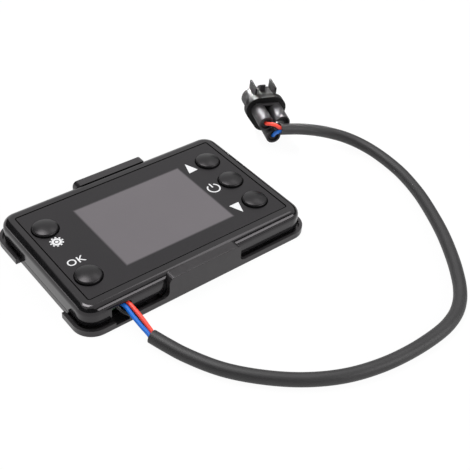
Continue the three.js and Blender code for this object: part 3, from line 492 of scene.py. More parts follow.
@dataclass(frozen=True)
class SolderMask:
    """A circuit board: green mask, with copper runs that show through as lighter lines."""

    name: str
    colour: int
    copper: int
    cell_size: float = 5.0
    run_middle: float = 0.55
    run_steps: tuple[float, float] = (0.09, 0.05)
    run_depth: float = 0.03
    weave_size: float = 0.6
    weave_depth: float = 0.004
    weave_gloss: tuple[float, float] = (0.4, 0.15)

    def make(self) -> bpy.types.Material:
        """Builds the material.

        Returns:
            The material.
        """
        painter = Painter(bpy.data.materials.new(self.name))
        place = painter.place()
        settings = {"feature": "F1", "distance": "MANHATTAN"}
        inputs = {"Vector": place, "Scale": 1 / (self.cell_size * MM)}
        cells = painter.signal("ShaderNodeTexVoronoi", settings, inputs)
        runs = painter.step(abs(cells - self.run_middle), *self.run_steps)
        weave = painter.noise(place, self.weave_size * MM, 2.0)
        least, most = self.weave_gloss
        varying = {
            "Base Color": painter.blend(runs, linear(self.colour), linear(self.copper)),
            "Roughness": least + most * weave,
            "Normal": painter.bump(runs, self.run_depth, painter.bump(weave, self.weave_depth)),
        }
        return painter.finish({}, varying)


class Finish(Enum):
    """Every finish on the panel, under the name that its material has."""

    CASE = Moulded("case_black", 0x0E0E0F, 0.13, grain_size=0.6, grain_depth=0.0012, wave_depth=0.006)
    BRACKET = Moulded("bracket_black", 0x1A191A, 0.3, grain_size=0.45, grain_depth=0.004)
    FILM = FaceFilm("overlay_film", 0x0F0E10, 0x605C5F, (-0.35, -0.35), (29.1, 22.0))
    KEY = Moulded("key_black", 0x101011, 0.3, grain_size=0.4, grain_depth=0.002, specular=0.33)
    INK = Ink("white_ink", 0xDADADB)
    FOAM = Moulded("foam_black", 0x141414, 0.95, grain_size=0.5, grain_depth=0.12, mottle=0.4)
    SCREEN = Moulded("screen_grey", 0x77737A, 0.12, mottle=0.05, grain_depth=0.0005)
    WHITE_PLASTIC = Moulded("white_plastic", 0xE4E0D4, 0.5, mottle=0.04)
    FLEX = Moulded("flex_amber", 0x96621C, 0.35, mottle=0.15)
    BOARD = SolderMask("board_green", 0x123C22, 0x2E6B3C)
    CHIP = Moulded("chip_black", 0x18181A, 0.55, grain_size=0.25, grain_depth=0.01)
    CAPACITOR = Moulded("capacitor_amber", 0xB5812E, 0.45, mottle=0.1)
    SWITCH_BODY = Moulded("switch_body", 0x26272B, 0.45)
    SWITCH_STEM = Moulded("switch_stem", 0x1B1B1D, 0.4)
    STEEL = Metal("screw_steel", 0xB4B6B8, 0.32)
    BRASS = Metal("contact_brass", 0xC9A658, 0.28, (1.0, 0.15, 1.0))
    CONNECTOR = Moulded("connector_black", 0x282728, 0.52, grain_size=0.4, grain_depth=0.003,
                        specular=0.35)
    # Painted shade: a darker copy of the connector plastic for the flange, which is the same plastic as the
    # housing.
    SHADED_FLANGE = Moulded("connector_flange_painted_shade", 0x111111, 0.55, grain_size=0.4, grain_depth=0.003,
                               specular=0.2)
    SEAL = Moulded("seal_rubber", 0x1C1B1B, 0.75, grain_size=0.35, grain_depth=0.01)
    SLEEVE = Jacket("sleeve_black", 0x252425, 0.5, 0.55, 0.03)
    RED = Jacket("wire_red", 0xEE4636, 0.38, 0.4, 0.008, 0.05)
    BLUE = Jacket("wire_blue", 0x0064C4, 0.5, 0.4, 0.008, 0.05)
    BLACK = Jacket("wire_black", 0x1A1A1B, 0.3, 0.4, 0.008)


class Wardrobe:
    """Makes each finish's material once and puts it on pieces."""

    def __init__(self) -> None:
        """Starts with no material made."""
        self.made: dict[Finish, bpy.types.Material] = {}

    def material(self, finish: Finish) -> bpy.types.Material:
        """The material of a finish.

        Args:
            finish: The finish.

        Returns:
            The material, made on the first call.
        """
        if finish not in self.made:
            self.made[finish] = finish.value.make()
        return self.made[finish]

    def dress(self, thing: bpy.types.Object, finish: Finish) -> None:
        """Puts a finish on every material slot of a thing.

        Args:
            thing: A new piece or a CAD node.
            finish: The finish.
        """
        if not thing.material_slots:
            thing.data.materials.append(self.material(finish))
        for slot in thing.material_slots:
            slot.material = self.material(finish)

    def dress_part(self, thing: bpy.types.Object, finish: Finish,
                   belongs: Callable[[Vector], bool]) -> None:
        """Puts a second finish on some faces of a new piece.

        Args:
            thing: The piece.
            finish: The second finish.
            belongs: Says whether a face with this middle, in millimetres, takes it.
        """
        thing.data.materials.append(self.material(finish))
        for face in thing.data.polygons:
            if belongs(face.center / MM):
                face.material_index = len(thing.data.materials) - 1


# ------------------------------------------------------------------------------------------- mesh making


def rounded_block(size: Triple, middle: Triple, corner: float, steps: int = 10) -> BMesh:
    """A block whose four upright edges are round.

    Args:
        size: Its length, width and height.
        middle: Its middle.
        corner: The radius of its upright edges, or 0.
        steps: The segments of each quarter.

    Returns:
        The block.
    """
    mesh = bmesh.new()
    matrix = Matrix.Translation(Vector(middle)) @ Matrix.Diagonal((*size, 1.0))
    bmesh.ops.create_cube(mesh, size=1.0, matrix=matrix)
    if corner > 0:
        upright = [e for e in mesh.edges if (e.verts[0].co - e.verts[1].co).xy.length < SAME]
        soften(mesh, upright, corner, steps)
    return mesh


def soften(mesh: BMesh, edges: Sequence[BMEdge], radius: float, steps: int) -> None:
    """Rounds edges.

    Args:
        mesh: The mesh.
        edges: The edges.
        radius: The radius of the rounding.
        steps: The segments across it.
    """
    bmesh.ops.bevel(mesh, geom=list(edges), offset=radius, offset_type="OFFSET", segments=steps,
                    profile=0.5, affect="EDGES", material=-1, clamp_overlap=True)


def edges_at(mesh: BMesh, level: float) -> list[BMEdge]:
    """The edges that lie at a level on Z."""
    return [e for e in mesh.edges if all(abs(v.co.z - level) < SAME for v in e.verts)]


def rod(start: Triple, end: Triple, radius: float, sides: int = 48,
        end_radius: float | None = None) -> BMesh:
    """A closed cylinder or cone between two points.

    Args:
        start: The middle of one end.
        end: The middle of the other end.
        radius: The radius at the start.
        sides: The sides round it.
        end_radius: The radius at the end, where that differs.

    Returns:
        The rod.
    """
    first, last = Vector(start), Vector(end)
    turn = (last - first).to_track_quat("Z", "Y").to_matrix().to_4x4()
    mesh = bmesh.new()
    bmesh.ops.create_cone(
        mesh, cap_ends=True, segments=sides, radius1=radius, radius2=end_radius or radius,
        depth=(last - first).length, matrix=Matrix.Translation((first + last) / 2) @ turn)
    return mesh


def turned(profile: Sequence[tuple[float, float]], roundings: Sequence[tuple[int, float]],
           sides: int = 72, steps: int = 5) -> BMesh:
    """A closed body turned about Z from a half section.

    Args:
        profile: The half section as radius and level, from the axis round to the axis.
        roundings: Which of its points are rounded, and by how much.
        sides: The sides round it.
        steps: The segments of each rounding.

    Returns:
        The body.
    """
    mesh = bmesh.new()
    points = [mesh.verts.new((radius, 0.0, level)) for radius, level in profile]
    for first, last in zip(points, points[1:]):
        mesh.edges.new((first, last))
    for index, radius in roundings:
        bmesh.ops.bevel(mesh, geom=[points[index]], offset=radius, offset_type="OFFSET", segments=steps,
                        profile=0.5, affect="VERTICES", material=-1)
    bmesh.ops.spin(mesh, geom=[*mesh.verts, *mesh.edges], cent=(0, 0, 0), axis=(0, 0, 1),
                   angle=math.tau, steps=sides, use_merge=True, use_duplicate=False)
    bmesh.ops.remove_doubles(mesh, verts=mesh.verts, dist=TURN_WELD)
    bmesh.ops.recalc_face_normals(mesh, faces=mesh.faces)
    return mesh


def moved(mesh: BMesh, matrix: Matrix) -> BMesh:
    """The same mesh after a move."""
    bmesh.ops.transform(mesh, matrix=matrix, verts=mesh.verts)
    return mesh


def smooth_route(points: Sequence[Triple], spacing: float) -> list[Vector]:
    """Points close together on a centripetal curve through a route.

    Args:
        points: The route.
        spacing: About how far apart the new points lie.

    Returns:
        The points.
    """
    knots = [Vector(p) for p in points]
    ends = [2 * knots[0] - knots[1], *knots, 2 * knots[-1] - knots[-2]]
    route = []
    for p0, p1, p2, p3 in zip(ends, ends[1:], ends[2:], ends[3:]):
        t1 = math.sqrt((p1 - p0).length)
        t2 = t1 + math.sqrt((p2 - p1).length)
        t3 = t2 + math.sqrt((p3 - p2).length)
        count = max(1, round((p2 - p1).length / spacing))
        for step in range(count):
            t = t1 + (t2 - t1) * step / count
            a1 = p0.lerp(p1, t / t1)
            a2 = p1.lerp(p2, (t - t1) / (t2 - t1))
            a3 = p2.lerp(p3, (t - t2) / (t3 - t2))
            b1 = a1.lerp(a2, t / t2)
            b2 = a2.lerp(a3, (t - t1) / (t3 - t1))
            route.append(b1.lerp(b2, (t - t1) / (t2 - t1)))
    route.append(knots[-1])
    return route


def route_length(route: Sequence[Vector]) -> float:
    """The length of a route."""
    return sum((b - a).length for a, b in zip(route, route[1:]))


def tube(route: Sequence[Vector], radius: float, sides: int,
         squeeze: Callable[[float], tuple[float, float]], wall: float = 0.0, bore: float = 0.0) -> BMesh:
    """A tube along a route, drawn out ring by ring.

    Args:
        route: The points of its centre line.
        radius: Its radius.
        sides: The sides round it.
        squeeze: The width and height of its section, as shares, at a share of its length.
        wall: The wall that shows round each open end, or 0 where the ends are flat.
        bore: How deep each open end goes.

    Returns:
        The tube, with the attribute `lay` on its points.
    """
    mesh = bmesh.new()
    lay = mesh.verts.layers.float_vector.new("lay")
    ring = bmesh.ops.create_circle(mesh, cap_ends=False, radius=radius, segments=sides)["verts"]
    seats = {vert: vert.co.copy() for vert in ring}
    edges = list(mesh.edges)
    last = Matrix.Identity(4)
    gone = 0.0
    total = route_length(route)
    rims = []
    for index, point in enumerate(route):
        ahead = route[min(index + 1, len(route) - 1)] - route[max(index - 1, 0)]
        tangent = ahead.normalized()
        across = Vector((0, 0, 1)).cross(tangent).normalized()
        up = tangent.cross(across)
        gone += (point - route[index - 1]).length if index else 0.0
        width, height = squeeze(gone / total)
        columns = Matrix((across * width, up * height, tangent)).transposed().to_4x4()
        now = Matrix.Translation(point) @ columns
        if index:
            grown = bmesh.ops.extrude_edge_only(mesh, edges=edges)["geom"]
            edges = [g for g in grown if isinstance(g, BMEdge)]
            fresh = [g for g in grown if isinstance(g, BMVert)]
            seats = {vert: nearest_seat(vert, seats) for vert in fresh}
        bmesh.ops.transform(mesh, matrix=now @ last.inverted(), verts=list(seats))
        for vert, seat in seats.items():
            vert[lay] = (seat.x * MM, seat.y * MM, gone * MM)
        last = now
        if index in (0, len(route) - 1):
            rims.append((list(edges), tangent if index == 0 else -tangent))
    for rim, inwards in rims:
        close_end(mesh, rim, inwards, wall, bore)
    bmesh.ops.recalc_face_normals(mesh, faces=mesh.faces)
    return mesh


def nearest_seat(vert: BMVert, seats: dict[BMVert, Vector]) -> Vector:
    """The section place of the ring point that a fresh point was drawn out of."""
    return min(seats.items(), key=lambda item: (item[0].co - vert.co).length_squared)[1]


def close_end(mesh: BMesh, rim: Sequence[BMEdge], inwards: Vector, wall: float, bore: float) -> None:
    """Closes the end of a tube, flat or with a short bore.

    Args:
        mesh: The mesh.
        rim: The edges of the open end.
        inwards: The way into the tube.
        wall: The width of the wall, or 0.
        bore: The depth of the bore.
    """
    faces = bmesh.ops.contextual_create(mesh, geom=list(rim))["faces"]
    if wall > 0:
        bmesh.ops.inset_individual(mesh, faces=faces, thickness=wall, use_even_offset=True)
        sunk = bmesh.ops.extrude_discrete_faces(mesh, faces=faces)["faces"]
        bmesh.ops.translate(mesh, vec=inwards * bore, verts=[v for f in sunk for v in f.verts])


class Cut(Enum):
    """What one blank does to another."""

    ADD = "UNION"
    REMOVE = "DIFFERENCE"
    KEEP = "INTERSECT"


@dataclass
class Bench:
    """Turns blanks into pieces: joins and cuts them, softens their edges and puts them in the scene."""

    wardrobe: Wardrobe
    sharp_angle: float = math.radians(34)
    edge_steps: int = 2

    def scratch(self, mesh: BMesh, name: str) -> bpy.types.Object:
        """Puts a blank in the scene.

        Args:
            mesh: The blank, in millimetres; it is freed.
            name: The object's name.

        Returns:
            The object, in metres.
        """
        data = bpy.data.meshes.new(name)
        moved(mesh, Matrix.Scale(MM, 4))
        mesh.to_mesh(data)
        mesh.free()
        thing = bpy.data.objects.new(name, data)
        bpy.context.scene.collection.objects.link(thing)
        return thing

    def carve(self, blank: BMesh, steps: Sequence[tuple[Cut, BMesh]]) -> BMesh:
        """Joins and cuts closed blanks, one after another.

        Args:
            blank: The first blank.
            steps: What is done with each further blank.

        Returns:
            What is left, in millimetres.
        """
        work = self.scratch(blank, "work")
        tools = []
        for kind, mesh in steps:
            tool = self.scratch(mesh, "tool")
            modifier = work.modifiers.new("cut", "BOOLEAN")
            modifier.operation = kind.value
            modifier.solver = "EXACT"
            modifier.object = tool
            tools.append(tool)
        graph = bpy.context.evaluated_depsgraph_get()
        done = bmesh.new()
        done.from_object(work, graph)
        moved(done, Matrix.Scale(1 / MM, 4))
        for thing in [work, *tools]:
            data = thing.data
            bpy.data.objects.remove(thing)
            bpy.data.meshes.remove(data)
        bmesh.ops.remove_doubles(done, verts=done.verts, dist=CUT_WELD)
        bmesh.ops.dissolve_degenerate(done, dist=CUT_WELD, edges=done.edges)
        return done

    def piece(self, name: str, mesh: BMesh, finish: Finish, body: str,
              stands_for: Sequence[str] = (), edge: float = 0.0) -> bpy.types.Object:
        """Makes a piece of the panel.

        Args:
            name: Its name.
            mesh: Its shape, in millimetres; it is freed.
            finish: Its finish.
            body: The CAD body that it rides on.
            stands_for: The CAD nodes that it replaces.
            edge: The rounding of its sharp edges, in millimetres, or 0.

        Returns:
            The piece.
        """
        thing = self.scratch(mesh, name)
        thing.data.shade_smooth()
        if edge > 0:
            bevel = thing.modifiers.new("edges", "BEVEL")
            bevel.width = edge * MM
            bevel.segments = self.edge_steps
            bevel.limit_method = "ANGLE"
            bevel.angle_limit = self.sharp_angle
            bevel.use_clamp_overlap = True
        else:
            thing.data.set_sharp_from_angle(angle=self.sharp_angle)
        weighted = thing.modifiers.new("normals", "WEIGHTED_NORMAL")
        weighted.keep_sharp = True
        self.wardrobe.dress(thing, finish)
        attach(thing, body)
        if stands_for:
            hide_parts(*stands_for)
        LOG.info("%s: %d faces", name, len(thing.data.polygons))
        return thing


# ------------------------------------------------------------------------------------------------ studio


@dataclass(frozen=True)
class Card:
    """A dark curved card that only reflections see, as a photographer's black card.

    It runs from the bearing start to the bearing end, in degrees from +X towards +Y, and from low to high,
    in degrees above the floor as the object sees it.
    """

    name: str
    start: float
    end: float
    low: float
    high: float


@dataclass(frozen=True)
class Lamp:
    """A soft lamp: its place and size in millimetres, and its power in watts.

    It looks at aim, or else at the camera's target, and lets light go no wider than spread, in degrees.
    """

    name: str
    place: Triple
    size: tuple[float, float]
    power: float
    aim: Triple | None = None
    spread: float = 180.0


@dataclass
class Studio:
    """Camera, lamps, world and floor."""

    azimuth: float = -41.584
    elevation: float = 40.710
    roll: float = 4.536
    distance: float = 389.269
    target: Triple = (20.828, -33.475, 12.8)
    lens: float = 66.385
    sensor: float = 36.0
    near_clip: float = 10.0
    floor_size: float = 6000.0
    floor_rise: float = 0.01
    floor_glow: float = 0.95
    floor_grey: float = 0.86
    card_distance: float = 1500.0
    card_grey: float = 0.1
    card_steps: int = 24
    ambient: float = 0.65
    cards: tuple[Card, ...] = (
        Card("right_card", -25, 44, 2, 24),
        Card("left_card", 92, 205, 10, 48),
        Card("near_card", 200, 336, 12, 54),
        Card("corner_card", 205, 262, 50, 66),
    )
    lamps: tuple[Lamp, ...] = (
        Lamp("softbox", (504, 164, 848), (500, 260), 0.9),
        Lamp("top_lamp", (-150, 350, 1100), (500, 500), 7.5),
        Lamp("near_strip", (457, -760, 500), (800, 400), 4.6),
        Lamp("left_strip", (-820, 570, 110), (600, 80), 0.3),
        Lamp("plug_lamp", (142, 201, 116), (40, 60), 0.025, (103, 38, 12), 9),
    )

    def build(self) -> None:
        """Sets up everything that isn't the object."""
        self.camera()
        self.world()
        self.floor()
        for card in self.cards:
            self.hang(card)
        for lamp in self.lamps:
            self.light(lamp)
        bpy.context.scene.view_settings.view_transform = "Standard"

    def camera(self) -> None:
        """Stands the camera where the photograph was taken from."""
        az, el, roll = (math.radians(a) for a in (self.azimuth, self.elevation, self.roll))
        back = Vector((math.sin(az) * math.cos(el), -math.cos(az) * math.cos(el), math.sin(el)))
        level = Vector((math.cos(az), math.sin(az), 0))
        rise = back.cross(level)
        right = math.cos(roll) * level + math.sin(roll) * rise
        up = back.cross(right)
        place = (Vector(self.target) + back * self.distance) * MM
        data = bpy.data.cameras.new("camera")
        data.lens = self.lens
        data.sensor_width = self.sensor
        data.clip_start = self.near_clip * MM
        camera = bpy.data.objects.new("camera", data)
        camera.matrix_world = Matrix.Translation(place) @ Matrix((right, up, back)).transposed().to_4x4()
        bpy.context.scene.collection.objects.link(camera)
        bpy.context.scene.camera = camera

    def world(self) -> None:
        """A white surround as seen, and a plain grey one as light."""
        painter = Painter(bpy.data.worlds.new("surround"))
        light = painter.signal("ShaderNodeBackground", None, {"Color": WHITE, "Strength": self.ambient})
        white = painter.signal("ShaderNodeBackground", None, {"Color": WHITE, "Strength": 1.0})
        mixed = painter.signal("ShaderNodeMixShader", None, {0: self.seen(painter), 1: light, 2: white})
        painter.node("ShaderNodeOutputWorld", None, {"Surface": mixed})
        bpy.context.scene.world = painter.owner

    def seen(self, painter: Painter) -> Signal:
        """The factor that is 1 for rays that look at the background: camera, glossy and transmission.

        Args:
            painter: The painter of the floor or the world.

        Returns:
            The factor.
        """
        path = painter.node("ShaderNodeLightPath")
        camera = Signal(painter, path.outputs["Is Camera Ray"])
        glossy = Signal(painter, path.outputs["Is Glossy Ray"])
        return camera.larger(glossy).larger(Signal(painter, path.outputs["Is Transmission Ray"]))

    def floor(self) -> None:
        """A plain white floor that keeps a faint shadow."""
        mesh = bmesh.new()
        bmesh.ops.create_grid(mesh, x_segments=1, y_segments=1, size=self.floor_size / 2 * MM,
                              matrix=Matrix.Translation((0, 0, self.floor_rise * MM)))
        data = bpy.data.meshes.new("floor")
        mesh.to_mesh(data)
        mesh.free()
        floor = bpy.data.objects.new("floor", data)
        bpy.context.scene.collection.objects.link(floor)
        painter = Painter(bpy.data.materials.new("floor_white"))
        share = self.seen(painter) * self.floor_glow
        matt = painter.signal("ShaderNodeBsdfDiffuse", None, {"Color": (*(self.floor_grey,) * 3, 1)})
        glow = painter.signal("ShaderNodeEmission", None, {"Color": WHITE, "Strength": 1.0})
        mixed = painter.signal("ShaderNodeMixShader", None, {0: share, 1: matt, 2: glow})
        painter.node("ShaderNodeOutputMaterial", None, {"Surface": mixed})
        data.materials.append(painter.owner)

    def hang(self, card: Card) -> None:
        """Hangs a card round the object.

        Args:
            card: The card.
        """
        mesh = bmesh.new()
        levels = [self.card_distance * math.tan(math.radians(angle)) for angle in (card.low, card.high)]
        first = math.radians(card.start)
        foot = Vector((math.cos(first), math.sin(first), 0)) * self.card_distance
        ends = [mesh.verts.new(foot + Vector((0, 0, level))) for level in levels]
        bmesh.ops.spin(mesh, geom=[*ends, mesh.edges.new(ends)], cent=(0, 0, 0), axis=(0, 0, 1),
                       angle=math.radians(card.end - card.start), steps=self.card_steps,
                       use_merge=False, use_duplicate=False)
        bmesh.ops.scale(mesh, vec=(MM, MM, MM), verts=mesh.verts)
        data = bpy.data.meshes.new(card.name)
        mesh.to_mesh(data)
        mesh.free()
        thing = bpy.data.objects.new(card.name, data)
        bpy.context.scene.collection.objects.link(thing)
        painter = Painter(bpy.data.materials.new(card.name))
        cloth = painter.signal("ShaderNodeBsdfDiffuse", None, {"Color": (*(self.card_grey,) * 3, 1)})
        painter.node("ShaderNodeOutputMaterial", None, {"Surface": cloth})
        data.materials.append(painter.owner)
        thing.visible_camera = False
        thing.visible_diffuse = False
        thing.visible_shadow = False

    def light(self, lamp: Lamp) -> None:
        """Puts up a lamp.

        Args:
            lamp: The lamp.
        """
        data = bpy.data.lights.new(lamp.name, "AREA")
        data.shape = "RECTANGLE"
        data.size = lamp.size[0] * MM
        data.size_y = lamp.size[1] * MM
        data.energy = lamp.power
        data.spread = math.radians(lamp.spread)
        thing = bpy.data.objects.new(lamp.name, data)
        thing.location = Vector(lamp.place) * MM
        thing.visible_camera = False
        towards = Vector(lamp.aim or self.target) - Vector(lamp.place)
        thing.rotation_mode = "QUATERNION"
        thing.rotation_quaternion = towards.to_track_quat("-Z", "Y")
        bpy.context.scene.collection.objects.link(thing)


# -------------------------------------------------------------------------------------------- the object


def four_corners(x: float, y: float) -> list[tuple[float, float]]:
    """The four places at plus and minus x and y."""
    return [(-x, y), (x, y), (-x, -y), (x, -y)]


@dataclass
class Levels:
    """Heights that the pieces share."""

    face: float = 12.8
    film_top: float = 12.7
    film_bottom: float = 11.6
    face_inside: float = 10.8
    board_top: float = 7.0
    case_bottom: float = 3.4
    rear_wall_top: float = 5.1


@dataclass
class KeyPad:
    """The five round keys and where they stand."""

    levels: Levels
    radius: float = 5.9
    rise: float = 2.1
    crown: float = 1.1
    flange_radius: float = 7.4
    flange_top: float = 10.5
    flange_bottom: float = 9.9
    boss_radius: float = 2.4
    boss_bottom: float = 9.6
    hole_gap: float = 0.45
    shoulder_round: float = 0.55
    crown_steps: int = 8
    hole_sides: int = 72
    places: dict[str, tuple[float, float]] = field(default_factory=lambda: {
        "menu": (-46.2, 17.8),
        "ok": (-46.2, -18.7),
        "up": (44.4, 17.95),
        "power": (44.4, -0.45),
        "down": (44.4, -18.85),
    })

    def holes(self, bottom: float, top: float) -> list[BMesh]:
        """Blanks for the holes that the keys stand in."""
        radius = self.radius + self.hole_gap
        return [rod((x, y, bottom), (x, y, top), radius, self.hole_sides) for x, y in self.places.values()]

    def build(self, bench: Bench) -> None:
        """Makes the keys.

        Args:
            bench: The bench.
        """
        crown = self.levels.face + self.rise
        shoulder = crown - self.crown
        dome = (self.radius ** 2 + self.crown ** 2) / (2 * self.crown)
        profile = [(0.0, crown)]
        for step in range(1, self.crown_steps + 1):
            across = self.radius * step / self.crown_steps
            profile.append((across, crown - dome + math.sqrt(dome ** 2 - across ** 2)))
        profile[-1] = (self.radius, shoulder)
        edge = len(profile) - 1
        profile += [
            (self.radius, self.flange_top), (self.flange_radius, self.flange_top),
            (self.flange_radius, self.flange_bottom), (self.boss_radius, self.flange_bottom),
            (self.boss_radius, self.boss_bottom), (0.0, self.boss_bottom),
        ]
        for name, (x, y) in self.places.items():
            mesh = moved(turned(profile, [(edge, self.shoulder_round)]), Matrix.Translation((x, y, 0)))
            bench.piece(f"key_cap_{name}", mesh, Finish.KEY, f"{name}_key", [f"key_{name}"])


@dataclass
class Case:
    """The front shell and the film on its face."""

    levels: Levels
    pad: KeyPad
    length: float = 119.4
    width: float = 75.8
    corner: float = 7.5
    edge: float = 3.9
    wall: float = 1.8
    film_size: tuple[float, float] = (107.1, 62.4)
    film_corner: float = 0.8
    film_shift: float = 0.3
    gap: float = 0.3
    seam: float = 0.55
    window_size: tuple[float, float] = (59.6, 45.4)
    window_middle: tuple[float, float] = (-0.35, -0.35)
    exit_x: float = -42.3
    exit_length: float = 9.8
    exit_height: float = 5.9
    exit_corner: float = 1.2
    pry_x: float = -25.5
    pry_length: float = 3.6
    pry_height: float = 1.7
    corner_steps: int = 14
    edge_steps: int = 10
    inner_steps: int = 10
    film_steps: int = 5
    window_steps: int = 4
    exit_steps: int = 6
    hollow_cut: float = 20.0
    recess_cut: float = 2.0
    window_cut: float = 4.0
    over: float = 1.0
    post_bite: float = 0.7
    case_posts: tuple[float, float] = (52.4, 30.6)
    case_post_radii: tuple[float, float] = (3.1, 1.5)
    board_posts: tuple[float, float] = (33.0, 30.4)
    board_post_radii: tuple[float, float] = (2.4, 1.3)
    post_sides: int = 32
    bore_sides: int = 24
    shell_edge: float = 0.12
    film_edge: float = 0.08

    def outside(self, grow: float = 0.0) -> BMesh:
        """The outer form of the case.

        Args:
            grow: How much larger it is all round.

        Returns:
            The form.
        """
        low, high = self.levels.case_bottom - 2 * grow, self.levels.face + grow
        size = (self.length + 2 * grow, self.width + 2 * grow, high - low)
        mesh = rounded_block(size, (0, 0, (low + high) / 2), self.corner + grow, self.corner_steps)
        soften(mesh, edges_at(mesh, high), self.edge + grow, self.edge_steps)
        return mesh

    def slot_blank(self) -> BMesh:
        """The blank of the slot that the wires leave by.

        Returns:
            The blank, lying along Y.
        """
        size = (self.exit_length, 2 * self.exit_height, 4 * self.wall)
        mesh = rounded_block(size, (0, 0, 0), self.exit_corner, self.exit_steps)
        lying = Matrix.Rotation(math.radians(90), 4, "X")
        place = Matrix.Translation((self.exit_x, -self.width / 2, self.levels.case_bottom))
        return moved(mesh, place @ lying)

    def posts(self, spots: tuple[float, float], radii: tuple[float, float],
              bottom: float) -> list[tuple[Cut, BMesh]]:
        """Four screw posts inside the shell.

        Args:
            spots: How far they stand from the middle, along X and Y.
            radii: The radius of a post and of its bore.
            bottom: The level of their lower ends.

        Returns:
            The steps that add the posts and bore them.
        """
        level = self.levels
        top = level.film_bottom - self.post_bite
        steps = []
        for x, y in four_corners(*spots):
            steps.append((Cut.ADD, rod((x, y, bottom), (x, y, top), radii[0], self.post_sides)))
            steps.append((Cut.REMOVE, rod((x, y, 0), (x, y, level.face_inside), radii[1], self.bore_sides)))
        return steps

    def build(self, bench: Bench) -> None:
        """Makes the shell and the film.

        Args:
            bench: The bench.
        """
        level = self.levels
        hollow = rounded_block(
            (self.length - 2 * self.wall, self.width - 2 * self.wall, self.hollow_cut),
            (0, 0, level.face_inside - self.hollow_cut / 2), self.corner - self.wall, self.inner_steps)
        film_length, film_width = self.film_size
        recess = rounded_block(
            (film_length + 2 * self.seam, film_width + 2 * self.seam, self.recess_cut),
            (0, self.film_shift, level.film_bottom + self.recess_cut / 2),
            self.film_corner + self.seam, self.film_steps)
        window = rounded_block((*self.window_size, self.window_cut),
                               (*self.window_middle, level.face_inside + self.over),
                               self.film_corner, self.window_steps)
        pry = rounded_block((self.pry_length, 4 * self.wall, 2 * self.pry_height),
                            (self.pry_x, -self.width / 2, level.case_bottom), 0)
        steps = [(Cut.REMOVE, blank) for blank in (hollow, recess, window, self.slot_blank(), pry)]
        holes = self.pad.holes(level.face_inside - self.over, level.face)
        steps += [(Cut.REMOVE, hole) for hole in holes]
        steps += self.posts(self.case_posts, self.case_post_radii, level.rear_wall_top)
        steps += self.posts(self.board_posts, self.board_post_radii, level.board_top)
        shell = bench.carve(self.outside(), steps)
        bench.piece("case_front", shell, Finish.CASE, "panel", ["front_shell"],
                    self.shell_edge)
        plate = rounded_block((*self.film_size, level.film_top - level.film_bottom),
                              (0, self.film_shift, (level.film_top + level.film_bottom) / 2),
                              self.film_corner, self.film_steps)
        holes = self.pad.holes(level.film_bottom - self.over, level.film_top + self.over)
        sheet = bench.carve(plate, [(Cut.REMOVE, hole) for hole in holes])
        bench.piece("face_film", sheet, Finish.FILM, "panel", ["face_overlay"],
                    self.film_edge)


